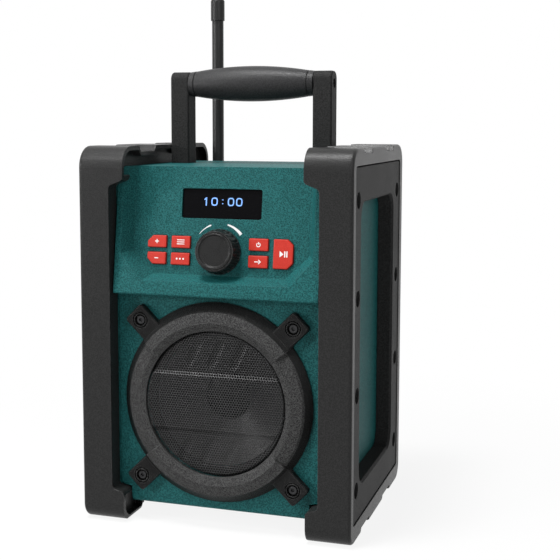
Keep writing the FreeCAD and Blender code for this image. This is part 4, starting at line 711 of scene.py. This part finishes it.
@dataclass
class Stroke:
    """A drawn line: its points, its width at each point and whether it closes on itself."""

    points: list[Point]
    widths: list[float]
    closed: bool = False

    @staticmethod
    def line(*points: Point, width: float) -> "Stroke":
        """Open line of even width."""
        return Stroke(list(points), [width] * len(points))

    @staticmethod
    def arc(centre: Point, radius: float, turn: Span, width: Span, steps: int = 24) -> "Stroke":
        """Part of a circle.

        Args:
            centre: its middle.
            radius: its radius.
            turn: first and last angle in degrees.
            width: line width at the start and at the end.
            steps: number of pieces.

        Returns:
            The stroke, closed where it goes all the way round.
        """
        start, end = turn
        closed = abs(end - start) >= FULL_TURN
        points = []
        widths = []
        for i in range(steps if closed else steps + 1):
            part = i / steps
            angle = math.radians(start + (end - start) * part)
            points.append((centre[0] + radius * math.cos(angle),
                           centre[1] + radius * math.sin(angle)))
            widths.append(width[0] + (width[1] - width[0]) * part)
        return Stroke(points, widths, closed)

    def outline(self) -> tuple[list[Point], list[Point]]:
        """Offsets the line to both sides by half its width.

        Returns:
            The left and the right edge points.
        """
        left = []
        right = []
        count = len(self.points)
        for i, (x, y) in enumerate(self.points):
            before = self.points[i - 1] if (i or self.closed) else self.points[i]
            last = i == count - 1 and not self.closed
            after = self.points[i] if last else self.points[(i + 1) % count]
            along = Vector((after[0] - before[0], after[1] - before[1])).normalized()
            half = self.widths[i] / 2
            left.append((x - along.y * half, y + along.x * half))
            right.append((x + along.y * half, y - along.x * half))
        return left, right


@dataclass
class Plane:
    """A flat place that strokes are drawn on: a point and its three directions.

    Attributes:
        CORNERS: points in a cross-section of a raised stroke.
    """

    origin: Vector
    across: Vector
    up: Vector
    out: Vector

    CORNERS = 4

    def at(self, x: float, y: float, height: float = 0.0) -> Vector:
        """Point on or above the plane."""
        return self.origin + self.across * x + self.up * y + self.out * height

    def draw(self, name: str, strokes: Sequence[Stroke], finish: Finish, body: str = "chassis",
             thickness: float = 0.06 * MM, sunk: float = 0.05 * MM) -> bpy.types.Object:
        """Raises strokes off the plane as one thin piece.

        Args:
            name: name of the piece.
            strokes: the lines.
            finish: what covers them.
            body: the body they move with.
            thickness: how far they stand out.
            sunk: how far they reach under the plane.

        Returns:
            The piece.
        """
        points: list[Vector] = []
        faces: list[list[int]] = []
        for stroke in strokes:
            left, right = stroke.outline()
            count = len(left)
            first = len(points)
            for (lx, ly), (rx, ry) in zip(left, right):
                points += [self.at(lx, ly, thickness), self.at(rx, ry, thickness),
                           self.at(rx, ry, -sunk), self.at(lx, ly, -sunk)]
            span = count if stroke.closed else count - 1
            for i in range(span):
                a = first + self.CORNERS * i
                b = first + self.CORNERS * ((i + 1) % count)
                for k in range(self.CORNERS):
                    n = (k + 1) % self.CORNERS
                    faces.append([a + k, a + n, b + n, b + k])
            if not stroke.closed:
                last = first + self.CORNERS * (count - 1)
                faces.append([first + 3, first + 2, first + 1, first])
                faces.append([last, last + 1, last + 2, last + 3])
        return mesh_object(name, points, faces, finish, body)


@dataclass(frozen=True)
class ClockDigits:
    """The time on the display, drawn about the middle of the window."""

    text: str = "10:00"
    height: float = 6.1 * MM
    width: float = 5.0 * MM
    line: float = 0.9 * MM
    pitch: float = 6.45 * MM
    corner: float = 0.62
    steps: int = 28
    flag_reach: float = 1.5 * MM
    flag_drop: float = 1.3 * MM
    stem_above: float = 0.4 * MM
    stem_below: float = 0.5 * MM
    dot_half: float = 0.4 * MM
    dot_line: float = 0.7 * MM
    dot_offset: float = 1.4 * MM

    def one(self, x: float, top: float) -> list[Stroke]:
        """A 1 with its flag and stem.

        Args:
            x: its middle.
            top: half the height of its line.

        Returns:
            Two strokes.
        """
        flag = Stroke.line((x - self.flag_reach, top - self.flag_drop), (x, top), width=self.line)
        stem = Stroke.line((x, top + self.stem_above), (x, -top - self.stem_below),
                           width=self.line)
        return [flag, stem]

    def colon(self, x: float) -> list[Stroke]:
        """Two square dots, centred on x."""
        return [Stroke.line((x - self.dot_half, y), (x + self.dot_half, y), width=self.dot_line)
                for y in (self.dot_offset, -self.dot_offset)]

    def zero(self, x: float, top: float) -> list[Stroke]:
        """A zero with rounded corners.

        Args:
            x: its middle.
            top: half the height of its line.

        Returns:
            One closed stroke.
        """
        side = (self.width - self.line) / 2
        points = []
        for i in range(self.steps):
            c = math.cos(2 * math.pi * i / self.steps)
            u = math.sin(2 * math.pi * i / self.steps)
            points.append((x + side * math.copysign(abs(c) ** self.corner, c),
                           top * math.copysign(abs(u) ** self.corner, u)))
        return [Stroke(points, [self.line] * self.steps, True)]

    def strokes(self) -> list[Stroke]:
        """Strokes of the whole text.

        Returns:
            The strokes, centred on the text's middle.
        """
        top = (self.height - self.line) / 2
        strokes: list[Stroke] = []
        for i, character in enumerate(self.text):
            x = (i - (len(self.text) - 1) / 2) * self.pitch
            if character == "1":
                strokes += self.one(x, top)
            elif character == ":":
                strokes += self.colon(x)
            else:
                strokes += self.zero(x, top)
        return strokes


@dataclass(frozen=True)
class KeySymbols:
    """A plain symbol for each key, drawn about the middle of its face."""

    line: float = 0.75 * MM
    arm: float = 1.5 * MM
    bar_half: float = 3.0 * MM
    bar_step: float = 1.5 * MM
    bar_weight: float = 0.8
    dot_radius: float = 0.35 * MM
    dot_step: float = 2.6 * MM
    dot_pieces: int = 12
    power_radius: float = 1.4 * MM
    power_turn: Span = (120, 420)
    power_drop: float = 0.1 * MM
    power_top: float = 1.9 * MM
    power_weight: float = 0.75
    shaft: Span = (-2.6 * MM, 1.6 * MM)
    head: Span = (0.4 * MM, 2.2 * MM)
    head_half: float = 1.5 * MM
    arrow_weight: float = 0.85
    play: Span = (-2.6 * MM, 0.2 * MM)
    play_widths: Span = (4.6 * MM, 0.2 * MM)
    pause_places: Span = (1.3 * MM, 2.9 * MM)
    pause_half: float = 2.2 * MM
    pause_line: float = 0.9 * MM

    def level(self, start: float, end: float, y: float, width: float) -> Stroke:
        """A level line from start to end at height y."""
        return Stroke.line((start, y), (end, y), width=width)

    def upright(self, x: float, low: float, high: float, width: float) -> Stroke:
        """An upright line from low to high at x."""
        return Stroke.line((x, low), (x, high), width=width)

    def dots(self) -> list[Stroke]:
        """Three round dots in a row."""
        width = 2 * self.dot_radius
        return [Stroke.arc((x, 0), self.dot_radius, (0, FULL_TURN), (width, width), self.dot_pieces)
                for x in (-self.dot_step, 0.0, self.dot_step)]

    def power(self) -> list[Stroke]:
        """An open ring with a bar through its gap.

        Returns:
            Two strokes.
        """
        width = self.line * self.power_weight
        ring = Stroke.arc((0, -self.power_drop), self.power_radius, self.power_turn,
                          (width, width))
        return [ring, self.upright(0, self.power_drop, self.power_top, width)]

    def arrow(self) -> list[Stroke]:
        """An arrow to the right.

        Returns:
            Its shaft and its head.
        """
        width = self.line * self.arrow_weight
        back, tip = self.head
        head = Stroke.line((back, self.head_half), (tip, 0), (back, -self.head_half), width=width)
        return [self.level(*self.shaft, 0, width), head]

    def play_pause(self) -> list[Stroke]:
        """A wedge and two bars."""
        wedge = Stroke([(x, 0) for x in self.play], list(self.play_widths))
        return [wedge] + [self.upright(x, -self.pause_half, self.pause_half, self.pause_line)
                          for x in self.pause_places]

    def all(self) -> dict[str, list[Stroke]]:
        """Draws every symbol.

        Returns:
            The strokes by the name of the key.
        """
        minus = self.level(-self.arm, self.arm, 0, self.line)
        return {
            "tune_up": [minus, self.upright(0, -self.arm, self.arm, self.line)],
            "tune_down": [minus],
            "info": [self.level(-self.bar_half, self.bar_half, y, self.line * self.bar_weight)
                     for y in (self.bar_step, 0.0, -self.bar_step)],
            "preset": self.dots(),
            "power": self.power(),
            "source": self.arrow(),
            "enter": self.play_pause(),
        }


@dataclass
class ControlPanel:
    """Display digits, key symbols and the volume arcs on the tilted panel.

    Attributes:
        face_depth: how far a face may fall away from its highest point.
        digit_offset: how far the digits' middle lies from the window's.
        digit_rise: how far the digits stand out of the window.
        lens_sunk: how far the window lies behind the tray's floor.
    """

    tilt: float = math.radians(8)
    face_depth: float = 0.9 * MM
    digit_offset: Point = (0.3 * MM, 1.6 * MM)
    digit_rise: float = 0.04 * MM
    lens_sunk: float = 1.3 * MM
    arc_gap: float = 4.0 * MM
    arc_left: Span = (142.0, 111.0)
    arc_right: Span = (75.0, 39.0)
    arc_left_width: Span = (0.25 * MM, 1.1 * MM)
    arc_right_width: Span = (1.0 * MM, 2.3 * MM)
    digits: ClockDigits = ClockDigits()
    key_symbols: KeySymbols = KeySymbols()
    across: Vector = field(default_factory=lambda: Vector((1, 0, 0)))

    def __post_init__(self) -> None:
        """Works out the panel's directions."""
        self.up = Vector((0, math.sin(self.tilt), math.cos(self.tilt)))
        self.out = Vector((0, -math.cos(self.tilt), math.sin(self.tilt)))

    def face(self, node: str) -> Plane:
        """Front face of a piece on the panel.

        Args:
            node: name of the CAD node.

        Returns:
            The face's plane, with its origin in the middle.
        """
        points = [v.co for v in frame["nodes"][node].data.vertices]
        top = max(p.dot(self.out) for p in points)
        near = [p for p in points if p.dot(self.out) > top - self.face_depth]
        xs = [p.dot(self.across) for p in near]
        ys = [p.dot(self.up) for p in near]
        middle = (self.across * (min(xs) + max(xs)) / 2 + self.up * (min(ys) + max(ys)) / 2
                  + self.out * top)
        return Plane(middle, self.across, self.up, self.out)

    def display(self) -> list[bpy.types.Object]:
        """Draws the clock digits in the window.

        Returns:
            The piece with all digits.
        """
        plane = self.face("display_lens")
        plane.origin = plane.at(*self.digit_offset)
        return [plane.draw("display_digits", self.digits.strokes(), Finish.DIGITS,
                           thickness=self.digit_rise)]

    def symbols(self) -> list[bpy.types.Object]:
        """A plain symbol on every key, riding with it."""
        return [self.face(f"button_{key}").draw(f"symbol_{key}", strokes, Finish.LEGEND,
                                                f"key_{key}")
                for key, strokes in self.key_symbols.all().items()]

    def arcs(self) -> list[bpy.types.Object]:
        """Prints the arcs over the knob, thin on the left and thick on the right.

        Returns:
            The piece with both arcs.
        """
        low, high = self.extent("volume_knob", self.up)
        reach = (high - low) / 2 + self.arc_gap
        floor = self.extent("display_lens", self.out)[1] + self.lens_sunk
        plane = Plane(self.up * (low + high) / 2 + self.out * floor, self.across, self.up, self.out)
        left = Stroke.arc((0, 0), reach, self.arc_left, self.arc_left_width)
        right = Stroke.arc((0, 0), reach, self.arc_right, self.arc_right_width)
        return [plane.draw("volume_arcs", [left, right], Finish.LEGEND)]

    @staticmethod
    def extent(node: str, direction: Vector) -> Span:
        """Lowest and highest place of a node along a direction."""
        places = [v.co.dot(direction) for v in frame["nodes"][node].data.vertices]
        return min(places), max(places)

    def build(self) -> list[bpy.types.Object]:
        """Builds everything on the panel."""
        return self.display() + self.symbols() + self.arcs()


@dataclass
class Grille:
    """Perforated sheet with a raised band and six pressed grooves, for the plain CAD sheet.

    Attributes:
        ring_step: distance between two rings of vertices.
        around: vertices in each ring.
        setback: how far the flat face lies before the CAD sheet's back.
        upper_slope: width of the band's upper slope.
        lower_slope: width of the band's lower slope.
        groove_shift: how far all grooves lie to the left of the axis.
        groove_lean: how far the upper grooves lie to the right, and the lower ones to the left.
        rim: width of the flat rim, which lies rim_drop behind the flat face.
        rim_wall: width of the step down to the rim.
    """

    ring_step: float = 0.6 * MM
    around: int = 400
    setback: float = 1.2 * MM
    band_half: float = 20 * MM
    band_rise: float = 2.0 * MM
    upper_slope: float = 3.3 * MM
    lower_slope: float = 2.5 * MM
    groove_depth: float = 1.0 * MM
    groove_length: float = 24.0 * MM
    groove_half: float = 3.6 * MM
    groove_edge: float = 2.2 * MM
    groove_angle: float = math.radians(64)
    groove_pitch: float = 17.5 * MM
    groove_offset: float = 37.0 * MM
    groove_shift: float = 3.0 * MM
    groove_lean: float = 3.5 * MM
    rim: float = 3.2 * MM
    rim_drop: float = 0.9 * MM
    rim_wall: float = 0.1 * MM

    def __post_init__(self) -> None:
        """Works out the grooves' middles, across and up from the axis, and their direction."""
        self.grooves = [(k * self.groove_pitch + side * self.groove_lean - self.groove_shift,
                         side * self.groove_offset) for side in (1, -1) for k in (-1, 0, 1)]
        self.along = Vector((math.cos(self.groove_angle), math.sin(self.groove_angle)))

    def groove(self, x: float, z: float) -> float:
        """How deep a place lies in a groove.

        Args:
            x: across from the speaker's axis.
            z: up from the speaker's axis.

        Returns:
            1 on a groove's floor and 0 outside all grooves.
        """
        deepest = 0.0
        reach = self.groove_length / 2 - self.groove_half
        for cx, cz in self.grooves:
            offset = Vector((x - cx, z - cz))
            run = offset.dot(self.along)
            run -= within(run, -reach, reach)
            away = math.hypot(run, offset.x * self.along.y - offset.y * self.along.x)
            wall = (away - self.groove_half + self.groove_edge) / self.groove_edge
            deepest = max(deepest, 1.0 - within(wall, 0.0, 1.0))
        return deepest

    def height(self, x: float, z: float) -> float:
        """How far the sheet stands out at a place.

        Args:
            x: across from the speaker's axis.
            z: up from the speaker's axis.

        Returns:
            The height towards the front, in metres.
        """
        slope = self.upper_slope if z >= 0 else self.lower_slope
        band = 1.0 - within((abs(z) - self.band_half) / slope, 0.0, 1.0)
        return band * self.band_rise - self.groove(x, z) * self.groove_depth

    def ring(self, radius: float) -> list[Point]:
        """Evenly spaced places on a circle, across and up from the speaker's axis."""
        angles = [2 * math.pi * k / self.around for k in range(self.around)]
        return [(radius * math.cos(angle), radius * math.sin(angle)) for angle in angles]

    def build(self) -> list[bpy.types.Object]:
        """Builds the sheet inside the CAD sheet's outline.

        Returns:
            The sheet.
        """
        low, high = (Vector(p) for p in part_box("speaker_grille"))
        middle = (low + high) / 2
        outer = (high.x - low.x) / 2
        radius = outer - self.rim
        flat = high.y - self.setback
        rings = int(radius / self.ring_step)
        around = self.around
        points = [Vector((middle.x, flat - self.height(0, 0), middle.z))]
        for i in range(1, rings + 1):
            points += [Vector((middle.x + x, flat - self.height(x, z), middle.z + z))
                       for x, z in self.ring(radius * i / rings)]
        for r in (radius + self.rim_wall, outer):
            points += [Vector((middle.x + x, flat + self.rim_drop, middle.z + z))
                       for x, z in self.ring(r)]
        faces = [[0, 1 + (k + 1) % around, 1 + k] for k in range(around)]
        for i in range(rings + 1):
            a = 1 + i * around
            for k in range(around):
                n = (k + 1) % around
                faces.append([a + k, a + n, a + around + n, a + around + k])
        sheet = mesh_object("grille_sheet", points, faces, Finish.GRILLE, smooth=True)
        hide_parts("speaker_grille")
        return [sheet]


@dataclass(frozen=True)
class Lamp:
    """Soft square lamp aimed at the radio; its size is in metres and its power in watts."""

    name: str
    place: Triple
    size: float
    power: float
    aim: Triple = (0.0, 0.0, 0.17)

    def build(self) -> bpy.types.Object:
        """Puts the lamp in the scene.

        Returns:
            The lamp.
        """
        data = bpy.data.lights.new(self.name, "AREA")
        data.size = self.size
        data.energy = self.power
        obj = bpy.data.objects.new(self.name, data)
        spot = Vector(self.place)
        turn = (Vector(self.aim) - spot).to_track_quat("-Z", "Y").to_matrix().to_4x4()
        obj.matrix_world = Matrix.Translation(spot) @ turn
        return add_to_scene(obj)


@dataclass
class Studio:
    """Pale floor, soft lamps, world and the camera at the photograph's angle.

    Attributes:
        focal_pixels: focal length for an image of image_pixels across.
        axis_row: image row that the camera's axis meets.
        floor_white: share of plain white in the floor under the radio.
        floor_fade: distances between which the floor turns all white.
        surround_light: strength of the world's light on the object.
    """

    camera_place: Triple = (0.28015, -0.81838, 0.30252)
    yaw: float = math.radians(17.33)
    pitch: float = math.radians(-5.87)
    roll: float = math.radians(0.12)
    focal_pixels: float = 1093.04
    image_pixels: float = 560.0
    axis_row: float = 235.0
    sensor: float = 36.0
    clip_start: float = 0.05
    floor_half: float = 6.0
    floor_patch: Noise = Noise(0.4, 2.0, 0.5)
    floor_light: Colour = grey(0.70)
    floor_dark: Colour = grey(0.68)
    floor_white: float = 0.88
    floor_fade: Span = (0.12, 0.5)
    surround_light: float = 0.2
    lamps: tuple[Lamp, ...] = (Lamp("key_lamp", (-0.8, -1.05, 1.45), 0.35, 11.0),
                               Lamp("side_lamp", (-1.0, -0.8, 0.45), 0.22, 7.0),
                               Lamp("fill_lamp", (1.2, -1.3, 0.9), 0.3, 5.0),
                               Lamp("top_lamp", (-0.25, -0.45, 1.9), 0.45, 38.0))

    def camera(self) -> bpy.types.Object:
        """Sets the camera, with a small vertical shift.

        Returns:
            The camera.
        """
        data = bpy.data.cameras.new("camera")
        data.sensor_width = self.sensor
        data.lens = self.focal_pixels * self.sensor / self.image_pixels
        data.shift_y = -(self.image_pixels / 2 - self.axis_row) / self.image_pixels
        data.clip_start = self.clip_start
        obj = bpy.data.objects.new("camera", data)
        turn = turned(self.yaw, "Z") @ turned(math.pi / 2 + self.pitch, "X")
        obj.matrix_world = Matrix.Translation(self.camera_place) @ turn @ turned(self.roll, "Z")
        bpy.context.scene.camera = add_to_scene(obj)
        return obj

    @staticmethod
    def seen_directly(graph: Graph) -> Signal:
        """Tells the rays that look at the surroundings from those that only light the object.

        Args:
            graph: the material's or the world's graph.

        Returns:
            1 for rays from the camera, off a mirror or through glass, or else 0.
        """
        path = graph.node("ShaderNodeLightPath", output="Is Camera Ray")
        seen = path.bigger(path.sibling("Is Glossy Ray"))
        return seen.bigger(path.sibling("Is Transmission Ray"))

    def floor(self) -> bpy.types.Object:
        """Lays a large pale floor that takes the object's shadow.

        Returns:
            The floor.
        """
        size = self.floor_half
        corners = [(-size, -size, 0), (size, -size, 0), (size, size, 0), (-size, size, 0)]
        mesh = bpy.data.meshes.new("floor")
        mesh.from_pydata(corners, [], [(0, 1, 2, 3)])
        obj = add_to_scene(bpy.data.objects.new("floor", mesh))
        graph = Graph("floor_pale")
        base = graph.mix(graph.noise(self.floor_patch), self.floor_light, self.floor_dark)
        paper = graph.node("ShaderNodeBsdfDiffuse", {}, {"Color": base, "Roughness": 0.0})
        white = graph.node("ShaderNodeEmission", {}, {"Color": (1, 1, 1, 1), "Strength": 1.0})
        x, y, _ = graph.axes()
        away = ((x * x + y * y) ** 0.5).ramp(*self.floor_fade)
        share = self.seen_directly(graph) * (away * (1.0 - self.floor_white) + self.floor_white)
        graph.output(graph.node("ShaderNodeMixShader", {}, {0: share, 1: paper, 2: white}))
        mesh.materials.append(graph.material)
        return obj

    def world(self) -> None:
        """White surroundings for the camera and plain grey light for the object."""
        world = bpy.data.worlds.new("studio")
        world.use_nodes = True
        bpy.context.scene.world = world
        graph = Graph(world)
        strength = self.seen_directly(graph) * (1.0 - self.surround_light) + self.surround_light
        graph.output(graph.node("ShaderNodeBackground", {},
                                {"Color": (1, 1, 1, 1), "Strength": strength}))

    def build(self) -> list[bpy.types.Object]:
        """Builds the studio.

        Returns:
            The camera, the floor and the lamps.
        """
        self.world()
        lamps = [lamp.build() for lamp in self.lamps]
        bpy.context.scene.view_settings.view_transform = "Standard"
        return [self.camera(), self.floor()] + lamps


def dress_frame() -> None:
    """Covers every CAD node with the finish of its material slot."""
    by_name = {finish.value.name: finish for finish in Finish}
    for part in frame["record"]["subparts"]:
        dress(frame["nodes"][part["node"]], by_name[part["material_slot"]])
        LOG.info("dressed %s in %s", part["node"], part["material_slot"])


def main() -> None:
    """Builds the scene."""
    logging.basicConfig(level=logging.INFO, format="%(name)s: %(message)s")
    dress_frame()
    for assembly in (ControlPanel(), Grille(), Studio()):
        for piece in assembly.build():
            LOG.info("%s: %s", type(assembly).__name__, piece.name)
    bpy.context.view_layer.update()


if __name__ == "__main__":
    main()
